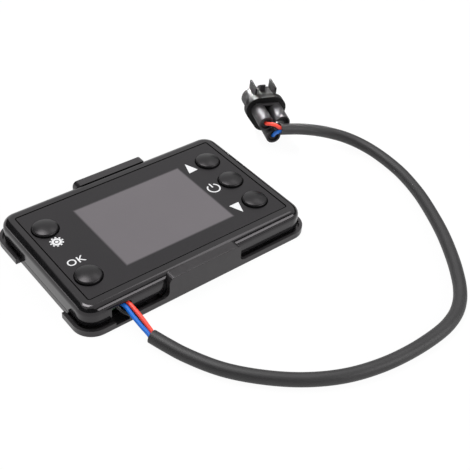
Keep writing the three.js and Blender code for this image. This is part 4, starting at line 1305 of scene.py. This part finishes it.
@dataclass
class Print:
    """The white signs on the film."""

    levels: Levels
    lift: float = 0.02
    thickness: float = 0.02
    up_corners: tuple[tuple[float, float], ...] = ((33.74, 22.51), (31.22, 15.1), (36.54, 15.54))
    down_corners: tuple[tuple[float, float], ...] = ((31.49, -15.71), (34.42, -22.72), (37.02, -15.7))
    blunt: float = 0.25
    blunt_steps: int = 3
    power_place: tuple[float, float] = (33.97, -0.76)
    power_ring: tuple[float, float] = (2.65, 3.35)
    power_start: float = 122
    power_turn: float = 296
    bar_rise: float = 2.3
    bar_half: tuple[float, float] = (0.36, 1.6)
    gear_place: tuple[float, float] = (-46.33, 7.51)
    gear_ring: tuple[float, float] = (1.25, 2.4)
    gear_steps: int = 48
    teeth: int = 10
    tooth_reach: float = 2.65
    tooth_half: tuple[float, float] = (0.5, 0.4)
    hub_radius: float = 0.8
    hub_sides: int = 24
    ok_place: tuple[float, float] = (-45.9, -8.0)
    ok_size: float = 5.5
    ok_weight: float = 0.04
    ok_spacing: float = 1.1

    def build(self, bench: Bench) -> None:
        """Makes the signs.

        Args:
            bench: The bench.
        """
        self.sign(bench, "print_up", self.triangle(self.up_corners))
        self.sign(bench, "print_down", self.triangle(self.down_corners))
        self.sign(bench, "print_power", self.power())
        self.sign(bench, "print_gear", self.gear())
        self.letters(bench, "print_ok", "OK")

    def sign(self, bench: Bench, name: str, mesh: BMesh) -> None:
        """Lays a flat sign on the film.

        Args:
            bench: The bench.
            name: Its name.
            mesh: Its flat shape at the level 0.
        """
        solid = bmesh.ops.extrude_face_region(mesh, geom=list(mesh.faces))["geom"]
        raised = [g for g in solid if isinstance(g, BMVert)]
        bmesh.ops.translate(mesh, vec=(0, 0, self.thickness), verts=raised)
        bmesh.ops.recalc_face_normals(mesh, faces=mesh.faces)
        moved(mesh, Matrix.Translation((0, 0, self.levels.film_top + self.lift - self.thickness)))
        bench.piece(name, mesh, Finish.INK, "panel")

    def triangle(self, corners: Sequence[tuple[float, float]]) -> BMesh:
        """A flat triangle with slightly blunt corners.

        Args:
            corners: Its corners.

        Returns:
            The triangle.
        """
        mesh = bmesh.new()
        mesh.faces.new([mesh.verts.new((x, y, 0)) for x, y in corners])
        bmesh.ops.bevel(mesh, geom=list(mesh.verts), offset=self.blunt, segments=self.blunt_steps,
                        profile=0.5, affect="VERTICES", material=-1)
        return mesh

    def band(self, centre: tuple[float, float], radii: tuple[float, float], start: float, turn: float,
             steps: int = 32) -> BMesh:
        """A flat band of a ring.

        Args:
            centre: Its centre.
            radii: Its inner and its outer radius.
            start: The angle that it starts at, in degrees from +X.
            turn: How far it goes, in degrees.
            steps: The segments along it.

        Returns:
            The band.
        """
        mesh = bmesh.new()
        heading = Vector((math.cos(math.radians(start)), math.sin(math.radians(start)), 0))
        middle = Vector((*centre, 0))
        ends = [mesh.verts.new(middle + heading * radius) for radius in radii]
        line = mesh.edges.new(ends)
        bmesh.ops.spin(mesh, geom=[*ends, line], cent=middle, axis=(0, 0, 1), angle=math.radians(turn),
                       steps=steps, use_merge=turn >= 360, use_duplicate=False)
        return mesh

    def power(self) -> BMesh:
        """An open ring with a bar in its gap.

        Returns:
            The sign.
        """
        mesh = self.band(self.power_place, self.power_ring, self.power_start, self.power_turn)
        x, y = self.power_place
        matrix = Matrix.Translation((x, y + self.bar_rise, 0)) @ Matrix.Diagonal((*self.bar_half, 1, 1))
        bmesh.ops.create_grid(mesh, x_segments=1, y_segments=1, size=1.0, matrix=matrix)
        return mesh

    def gear(self) -> BMesh:
        """A gear with a dark ring round its hub.

        Returns:
            The sign.
        """
        mesh = self.band(self.gear_place, self.gear_ring, 0, 360, self.gear_steps)
        centre = Matrix.Translation((*self.gear_place, 0))
        tooth = Matrix.Translation((self.tooth_reach, 0, 0)) @ Matrix.Diagonal((*self.tooth_half, 1, 1))
        for number in range(self.teeth):
            turn = Matrix.Rotation(math.tau * number / self.teeth, 4, "Z")
            bmesh.ops.create_grid(mesh, x_segments=1, y_segments=1, size=1.0, matrix=centre @ turn @ tooth)
        bmesh.ops.create_circle(mesh, cap_ends=True, radius=self.hub_radius, segments=self.hub_sides,
                                matrix=centre)
        return mesh

    def letters(self, bench: Bench, name: str, words: str) -> None:
        """Prints letters on the film.

        Args:
            bench: The bench.
            name: The piece's name.
            words: The letters.
        """
        curve = bpy.data.curves.new(name, "FONT")
        curve.body = words
        curve.size = self.ok_size
        curve.align_x = "CENTER"
        curve.align_y = "CENTER"
        curve.offset = self.ok_weight
        curve.space_character = self.ok_spacing
        thing = bpy.data.objects.new(name, curve)
        bpy.context.scene.collection.objects.link(thing)
        flat = bpy.data.meshes.new_from_object(thing.evaluated_get(bpy.context.evaluated_depsgraph_get()))
        mesh = bmesh.new()
        mesh.from_mesh(flat)
        bpy.data.meshes.remove(flat)
        bpy.data.objects.remove(thing)
        bpy.data.curves.remove(curve)
        bmesh.ops.remove_doubles(mesh, verts=mesh.verts, dist=LETTER_WELD)
        moved(mesh, Matrix.Translation((*self.ok_place, 0)))
        self.sign(bench, name, mesh)


@dataclass
class Bracket:
    """The mounting bracket with its two snap hooks."""

    case: Case
    length: float = 124.0
    width: float = 81.0
    corner: float = 9.5
    base: float = 1.6
    rim_height: float = 3.1
    rim_wall: float = 1.5
    relief_length: float = 40.0
    relief_y: float = -2.5
    hook_length: float = 39.0
    hook_x: float = 0.4
    hook_rise: float = 0.15
    hook_reach: float = 2.0
    hook_edge: float = 0.5
    hook_corner: float = 3.0
    hook_foot: float = 2.5
    hole_x: float = 42.0
    hole_radius: float = 2.1
    sink_radius: float = 3.9
    notch_x: float = -43.5
    notch_length: float = 6.6
    notch_cut: float = 3.0
    corner_steps: int = 14
    hook_corner_steps: int = 8
    hook_edge_steps: int = 4
    foot_sides: int = 48
    hole_sides: int = 48
    view_cut: float = 30.0
    foot_cut: float = 20.0
    under_cut: float = 8.0
    under_middle: float = 2.0
    tray_cut: float = 4.0
    relief_cut: float = 20.0
    sink_clear: float = 0.03
    edge: float = 0.2

    def hook(self, bench: Bench) -> BMesh:
        """One snap hook, on the +Y side: its lip follows the rounded edge of the case.

        Args:
            bench: The bench.

        Returns:
            The hook.
        """
        top = self.case.levels.face + self.hook_rise
        tip = self.case.width / 2 - self.hook_reach
        outside = self.width / 2
        reach = self.hook_length + 2 * self.hook_foot
        bar = rounded_block((reach, outside - tip, top), (0, (outside + tip) / 2, top / 2), 0)
        crest = [e for e in edges_at(bar, top) if all(abs(v.co.y - outside) < SAME for v in e.verts)]
        soften(bar, crest, self.hook_edge, self.hook_edge_steps)
        upright = rounded_block((self.hook_length, 2 * top, self.view_cut), (0, 0, 0),
                                self.hook_corner, self.hook_corner_steps)
        moved(upright, Matrix.Translation((0, outside, 0)) @ Matrix.Rotation(math.radians(90), 4, "X"))
        foot_top = self.rim_height + self.hook_foot
        foot = rounded_block((reach, self.view_cut, foot_top), (0, outside, foot_top / 2), 0)
        steps = [(Cut.ADD, foot)]
        for side in (-1, 1):
            x = side * (self.hook_length / 2 + self.hook_foot)
            near, far = outside - self.foot_cut, outside + self.foot_cut
            steps.append((Cut.REMOVE, rod((x, near, foot_top), (x, far, foot_top),
                                          self.hook_foot, self.foot_sides)))
        view = bench.carve(upright, steps)
        cuts = [(Cut.KEEP, view), (Cut.REMOVE, self.case.outside(self.case.gap))]
        low = rounded_block((reach + 2, self.case.width + 2 * self.case.gap, self.under_cut),
                            (0, 0, self.under_middle), 0)
        mesh = bench.carve(bar, [*cuts, (Cut.REMOVE, low)])
        return moved(mesh, Matrix.Translation((self.hook_x, 0, 0)))

    def build(self, bench: Bench) -> None:
        """Makes the bracket.

        Args:
            bench: The bench.
        """
        tray = rounded_block((self.length, self.width, self.rim_height), (0, 0, self.rim_height / 2),
                             self.corner, self.corner_steps)
        inner = rounded_block(
            (self.length - 2 * self.rim_wall, self.width - 2 * self.rim_wall, self.tray_cut),
            (0, 0, self.base + self.tray_cut / 2), self.corner - self.rim_wall, self.corner_steps)
        steps = [(Cut.REMOVE, inner)]
        for side in (-1, 1):
            flush = self.case.length / 2
            wall = (self.rim_wall, self.relief_length + 2 * self.rim_wall, self.rim_height)
            middle = (side * (flush - self.rim_wall / 2), self.relief_y, self.rim_height / 2)
            steps.append((Cut.ADD, rounded_block(wall, middle, 0)))
            relief = rounded_block((self.relief_cut, self.relief_length, self.under_cut),
                                   (side * (flush + self.relief_cut / 2), self.relief_y, 1.0), 0)
            steps.append((Cut.REMOVE, relief))
            x = side * self.hole_x
            steps.append((Cut.REMOVE, rod((x, 0, -1), (x, 0, self.rim_height), self.hole_radius,
                                          self.hole_sides)))
            sink = self.base - self.sink_radius + self.hole_radius
            steps.append((Cut.REMOVE, rod((x, 0, sink), (x, 0, self.base + self.sink_clear),
                                          self.hole_radius, self.hole_sides, self.sink_radius)))
        steps.append((Cut.ADD, self.hook(bench)))
        steps.append((Cut.ADD, moved(self.hook(bench), Matrix.Rotation(math.pi, 4, "Z"))))
        notch = rounded_block((self.notch_length, 4 * self.rim_wall, self.notch_cut),
                              (self.notch_x, -self.width / 2, self.base + self.notch_cut / 2), 0)
        steps.append((Cut.REMOVE, notch))
        mesh = bench.carve(tray, steps)
        bench.piece("clip_bracket", mesh, Finish.BRACKET, "panel",
                    ["mounting_bracket"], self.edge)


@dataclass
class Lead:
    """The three wires and the sleeve that holds them between the case and the connector."""

    wire_radius: float = 0.95
    sleeve_radius: float = 3.0
    header: Triple = (-41.9, -33.5, 8.75)
    pitch: float = 2.3
    bore: float = 2.2
    reach_in: float = 2.5
    reach_out: float = 0.3
    sleeve_wall: float = 0.7
    sleeve_spacing: float = 2.0
    sleeve_sides: int = 32
    wire_spacing: float = 0.6
    wire_sides: int = 20
    flattening: float = 0.035
    ripple: float = 0.01
    ripple_rate: float = 34.0
    route: list[Triple] = field(default_factory=lambda: [
        (-39.2, -55.3, 3.3), (-36.7, -63.3, 3.14), (-33.9, -71.1, 3.07), (-26.4, -85.6, 3.05),
        (-15.8, -98.2, 3.05), (-3.2, -108.8, 3.05), (11.2, -116.7, 3.05), (27.1, -121.4, 3.05),
        (43.6, -123.4, 3.05), (60, -123.2, 3.05), (67.9, -122, 3.05), (75.6, -119.5, 3.05),
        (82.7, -115.4, 3.05), (89.2, -109.8, 3.05), (95.1, -103.2, 3.05), (100.6, -96.2, 3.05),
        (110.2, -82, 3.05), (118.2, -67.4, 3.05), (125.1, -52.3, 3.05), (129.8, -37, 3.14),
        (130.9, -29.3, 3.37), (131.1, -21.6, 3.85), (130.3, -13.9, 4.58), (128.2, -6.3, 5.5),
        (124.3, 0.7, 6.8), (118.9, 6.7, 8.1), (112.4, 11.6, 9.5), (105.7, 15.1, 10.8),
        (99.2, 17.5, 12), (93.2, 19.4, 13),
    ])
    leads: dict[str, list[Triple]] = field(default_factory=lambda: {
        "red": [(-39.2, -35.9, 8), (-38.6, -38.3, 7.5), (-38.4, -42.2, 7), (-38.3, -46.2, 6.3),
                (-38.2, -50.7, 5), (-38.15, -53.2, 4.2)],
        "blue": [(-41.3, -35.9, 7.8), (-40.6, -38.4, 7.1), (-40.6, -41, 6.6), (-40.6, -43.8, 6.05),
                 (-40.35, -49.4, 4.9), (-40.1, -53, 4.3)],
        "black": [(-43.4, -35.9, 6.9), (-41.9, -38.3, 5), (-39.9, -41.3, 4.5), (-38.5, -44.75, 4.2),
                  (-38.4, -49, 3), (-39, -52.8, 2.3)],
    })
    tails: dict[str, list[Triple]] = field(default_factory=lambda: {
        "red": [(92.2, 20.3, 14.8), (91, 21.9, 15.3), (89.9, 23.9, 15.1), (89.3, 25.6, 14.5)],
        "blue": [(92.2, 19.7, 11.5), (92.3, 21, 10.2), (92.6, 22.2, 8.8), (92.9, 23.2, 7.4)],
        "black": [(92, 20.9, 13), (92.3, 22, 13.5), (93.3, 22.6, 14.2), (94.6, 22.55, 14.7),
                  (96.1, 22.5, 14.7), (97.6, 22.8, 14.1)],
    })
    case_seats: dict[str, tuple[float, float]] = field(default_factory=lambda: {
        "red": (1.05, 0.35), "blue": (-0.82, 0.74), "black": (-0.23, -1.08)})
    connector_seats: dict[str, tuple[float, float]] = field(default_factory=lambda: {
        "red": (-0.19, 1.08), "blue": (-0.84, -0.71), "black": (1.03, -0.38)})

    def seat(self, at_case: bool, seat: tuple[float, float], away: float) -> Triple:
        """A place off one end of the sleeve, on a wire's seat there.

        Args:
            at_case: Whether it is the end by the case.
            seat: How far across and up from the centre line.
            away: How far outside the mouth; less than 0 is inside it.

        Returns:
            The place.
        """
        mouth, next_in = (self.route[0], self.route[1]) if at_case else (self.route[-1], self.route[-2])
        along = (Vector(next_in) - Vector(mouth)).normalized()
        across = Vector((-along.y, along.x, 0)).normalized()
        place = Vector(mouth) - along * away + across * seat[0] + Vector((0, 0, seat[1]))
        return place.x, place.y, place.z

    def squeeze(self, share: float) -> tuple[float, float]:
        """The section of the sleeve, which lies a little flat in places.

        Args:
            share: How far along the sleeve, from 0 to 1.

        Returns:
            The section's width and height, as shares of the round one.
        """
        ease = 0.5 - 0.5 * math.cos(math.tau * share)
        flat = self.flattening * ease + self.ripple * math.sin(share * self.ripple_rate)
        return 1 + flat, 1 - 0.5 * flat - self.ripple * ease

    def build(self, bench: Bench, connector: "Connector") -> None:
        """Args:
            bench: The bench.
            connector: The connector that the tails go into.
        """
        line = smooth_route(self.route, self.sleeve_spacing)
        mesh = tube(line, self.sleeve_radius, self.sleeve_sides, self.squeeze, self.sleeve_wall, self.bore)
        sleeve = bench.piece("sleeve", mesh, Finish.SLEEVE, "panel", ["cable_sleeve"])
        finishes = {"red": Finish.RED, "blue": Finish.BLUE, "black": Finish.BLACK}
        for index, colour in enumerate(("black", "blue", "red")):
            start = (self.header[0] + (index - 1) * self.pitch, self.header[1], self.header[2])
            seat = self.case_seats[colour]
            ends = [self.seat(True, seat, self.reach_out), self.seat(True, seat, -self.reach_in)]
            self.wire(bench, f"wire_{colour}_case", [start, *self.leads[colour], *ends],
                                     finishes[colour], f"lead_{colour}")
            seat = self.connector_seats[colour]
            starts = [self.seat(False, seat, -self.reach_in), self.seat(False, seat, self.reach_out)]
            route = [*starts, *self.tails[colour], *connector.wire_end(colour)]
            self.wire(bench, f"wire_{colour}_plug", route, finishes[colour],
                                     f"tail_{colour}")
        length = route_length(line) * MM
        [p * MM for p in line]

    def wire(self, bench: Bench, name: str, route: Sequence[Triple], finish: Finish,
             stands_for: str) -> bpy.types.Object:
        """Makes one bare stretch of a wire.

        Args:
            bench: The bench.
            name: Its name.
            route: Its centre line.
            finish: Its finish.
            stands_for: The CAD node that it replaces.

        Returns:
            The piece.
        """
        line = smooth_route(route, self.wire_spacing)
        mesh = tube(line, self.wire_radius, self.wire_sides, lambda share: (1.0, 1.0))
        return bench.piece(name, mesh, finish, "panel", [stands_for])


@dataclass
class Connector:
    """The sealed three-way connector on the end of the lead."""

    place: Triple = (98.55, 37.53, 6.4)
    turn: float = 21.7
    roll: float = 3.0
    top_radius: float = 7.4
    top_half: float = 3.8
    top_height: float = 13.5
    foot_radius: float = 6.3
    flange: float = 4.0
    overhang: float = 1.5
    pocket: float = 1.8
    shroud: float = 9.7
    wall: float = 1.4
    tube_radius: float = 4.0
    tube_wall: float = 1.0
    tube_pitch: float = 9.2
    tube_drop: float = 7.4
    tube_length: float = 14.2
    low_extra: float = 1.1
    fin_half_pitch: float = 5.5
    fin_thickness: float = 1.0
    fin_height: float = 4.7
    latch_start: float = 8.6
    latch_width: float = 2.6
    latch_height: float = 3.9
    latch_nose: float = 0.8
    plate_length: float = 2.0
    plate_thickness: float = 0.8
    seal_length: float = 5.0
    seal_depth: float = 1.0
    contact_radius: float = 1.0
    gap: float = 0.3
    slack: float = 0.01
    over: float = 1.0
    outline_sides: int = 64
    tube_sides: int = 48
    contact_sides: int = 24
    flat_angle: float = math.radians(0.5)
    edge: float = 0.18
    pieces: list[bpy.types.Object] = field(default_factory=list)

    def matrix(self) -> Matrix:
        """From the connector's own frame, with +Y the mating direction, to the panel's frame."""
        turned_frame = Matrix.Rotation(math.radians(-self.turn), 4, "Z")
        rolled = Matrix.Rotation(math.radians(self.roll), 4, "Y")
        return Matrix.Translation(self.place) @ turned_frame @ rolled @ Matrix.Translation(
            (0, 0, -self.foot_radius))

    def tubes(self) -> dict[str, tuple[float, float, float]]:
        """Where the tubes are.

        Returns:
            Each tube's place across and up, and its length.
        """
        high = self.foot_radius + self.tube_drop
        return {
            "red": (-self.tube_pitch / 2, high, self.tube_length),
            "black": (self.tube_pitch / 2, high, self.tube_length),
            "blue": (0.0, self.foot_radius, self.tube_length + self.low_extra),
        }

    def wire_end(self, colour: str) -> list[Triple]:
        """The last points of a wire, from the mouth of its tube into its seal.

        Args:
            colour: The wire's colour.

        Returns:
            The points.
        """
        x, z, length = self.tubes()[colour]
        inside = -length + self.seal_depth
        ends = [self.matrix() @ Vector((x, along, z)) for along in (inside, inside + self.seal_length)]
        return [(p.x, p.y, p.z) for p in ends]

    def outline(self, inset: float, start: float, end: float) -> BMesh:
        """The rounded triangle of the connector, as a bar along Y.

        Args:
            inset: How far it is drawn in all round.
            start: Where it starts.
            end: Where it ends.

        Returns:
            The bar.
        """
        mesh = bmesh.new()
        rounds = [(self.top_half, self.top_height, self.top_radius),
                  (-self.top_half, self.top_height, self.top_radius),
                  (0.0, self.foot_radius, self.foot_radius)]
        lying = Matrix.Rotation(math.radians(-90), 4, "X")
        for x, z, radius in rounds:
            matrix = Matrix.Translation((x, (start + end) / 2, z)) @ lying
            bmesh.ops.create_cone(mesh, cap_ends=True, segments=self.outline_sides,
                                  radius1=radius - inset, radius2=radius - inset, depth=end - start,
                                  matrix=matrix)
        hull = bmesh.ops.convex_hull(mesh, input=mesh.verts, use_existing_faces=False)
        spare = [*hull["geom_interior"], *hull["geom_unused"]]
        bmesh.ops.delete(mesh, geom=[g for g in spare if isinstance(g, BMVert)], context="VERTS")
        bmesh.ops.dissolve_limit(mesh, angle_limit=self.flat_angle, verts=mesh.verts, edges=mesh.edges)
        bmesh.ops.recalc_face_normals(mesh, faces=mesh.faces)
        return mesh

    def latch(self, roof: float, front: float) -> BMesh:
        """The locking wedge: upright towards the wires, sloping down to the mouth.

        Args:
            roof: The level of the roof that it stands on.
            front: Where the mouth of the shroud is.

        Returns:
            The wedge.
        """
        foot = roof - self.wall / 2
        section = [(self.latch_start, foot), (front, foot), (front, roof + self.latch_nose),
                   (self.latch_start + self.latch_nose, roof + self.latch_height),
                   (self.latch_start, roof + self.latch_height)]
        mesh = bmesh.new()
        face = mesh.faces.new([mesh.verts.new((-self.latch_width / 2, y, z)) for y, z in section])
        raised = bmesh.ops.extrude_face_region(mesh, geom=[face])["geom"]
        bmesh.ops.translate(mesh, vec=(self.latch_width, 0, 0),
                            verts=[g for g in raised if isinstance(g, BMVert)])
        bmesh.ops.recalc_face_normals(mesh, faces=mesh.faces)
        return mesh

    def build(self, bench: Bench) -> None:
        """Makes the housing, with painted shade on its flange, and takes its seals and contacts along.

        Args:
            bench: The bench.
        """
        front = self.flange + self.shroud
        inside = self.overhang + self.wall
        steps = [
            (Cut.ADD, self.outline(self.overhang, self.flange / 2, front)),
            (Cut.REMOVE, self.outline(inside, self.flange, front + self.over)),
            (Cut.REMOVE, self.outline(inside, -self.over, self.pocket)),
        ]
        for x, z, length in self.tubes().values():
            steps.append((Cut.ADD, rod((x, -length, z), (x, self.flange, z), self.tube_radius,
                                       self.tube_sides)))
        roof = self.top_height + self.top_radius - self.overhang
        low = roof - self.wall / 2 - self.over
        high = roof + self.fin_height
        for side in (-1, 1):
            middle = (side * self.fin_half_pitch, self.flange + self.shroud / 2, (low + high) / 2)
            fin = rounded_block((self.fin_thickness, self.shroud, high - low), middle, 0)
            steps.append((Cut.ADD, fin))
        plate_top = self.foot_radius + self.tube_drop + self.tube_radius
        plate = rounded_block(
            (self.tube_pitch + self.tube_radius, self.plate_length + 2 * self.pocket,
             self.plate_thickness),
            (0, self.pocket - self.plate_length / 2, plate_top - self.plate_thickness / 2), 0)
        steps.append((Cut.ADD, plate))
        for x, z, length in self.tubes().values():
            bore = rod((x, -length - self.over, z), (x, self.pocket, z),
                       self.tube_radius - self.tube_wall, self.tube_sides)
            steps.append((Cut.REMOVE, bore))
            passage = rod((x, 0, z), (x, self.flange + self.over, z),
                          self.contact_radius + self.gap, self.contact_sides)
            steps.append((Cut.REMOVE, passage))
        steps.append((Cut.ADD, self.latch(roof, front)))
        mesh = bench.carve(self.outline(0, 0, self.flange), steps)
        housing = bench.piece("plug_housing", moved(mesh, self.matrix()), Finish.CONNECTOR, "panel",
                              ["connector_housing"], self.edge)
        self.pieces.append(housing)
        own = self.matrix().inverted()
        # Painted shade: the flange's faces take a darker copy of the housing's own plastic.
        bench.wardrobe.dress_part(housing, Finish.SHADED_FLANGE,
                                  lambda middle: -self.slack < (own @ middle).y < self.flange + self.slack)
        for colour in self.tubes():
            self.pieces.append(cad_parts[f"wire_seal_{colour}"])
            self.pieces.append(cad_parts[f"contact_pin_{colour}"])


@dataclass
class Innards:
    """The CAD nodes that keep their own shape and get a finish."""

    finishes: dict[str, Finish] = field(default_factory=lambda: {
        "rear_shell": Finish.CASE,
        "screen_gasket": Finish.FOAM,
        "screen_glass": Finish.SCREEN,
        "backlight": Finish.WHITE_PLASTIC,
        "screen_flex": Finish.FLEX,
        "flex_socket": Finish.WHITE_PLASTIC,
        "circuit_board": Finish.BOARD,
        "processor": Finish.CHIP,
        "memory_chip": Finish.CHIP,
        "voltage_regulator": Finish.CHIP,
        "protection_diode": Finish.CHIP,
        "input_capacitor": Finish.CAPACITOR,
        "output_capacitor": Finish.CAPACITOR,
        "clock_crystal": Finish.STEEL,
        "board_header": Finish.WHITE_PLASTIC,
        "board_plug": Finish.WHITE_PLASTIC,
    })
    families: dict[str, Finish] = field(default_factory=lambda: {
        "case_screw": Finish.STEEL,
        "board_screw": Finish.STEEL,
        "switch_body": Finish.SWITCH_BODY,
        "switch_stem": Finish.SWITCH_STEM,
        "wire_seal": Finish.SEAL,
        "contact_pin": Finish.BRASS,
    })

    def build(self, wardrobe: Wardrobe) -> None:
        """Dresses the nodes.

        Args:
            wardrobe: The wardrobe.
        """
        for name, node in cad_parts.items():
            finish = self.finishes.get(name)
            for family, shared in self.families.items():
                if name.startswith(family):
                    finish = shared
            if finish is not None:
                wardrobe.dress(node, finish)
                LOG.info("%s: %s", name, finish.name)


def main() -> None:
    """Builds the scene: the studio first, then the lead and its connector, then the panel."""
    logging.basicConfig(level=logging.INFO, format="%(message)s")
    wardrobe = Wardrobe()
    bench = Bench(wardrobe)
    Studio().build()
    connector = Connector()
    connector.build(bench)
    Lead().build(bench, connector)
    levels = Levels()
    pad = KeyPad(levels)
    case = Case(levels, pad)
    case.build(bench)
    pad.build(bench)
    Print(levels).build(bench)
    Bracket(case).build(bench)
    Innards().build(wardrobe)


if __name__ == "__main__":
    main()
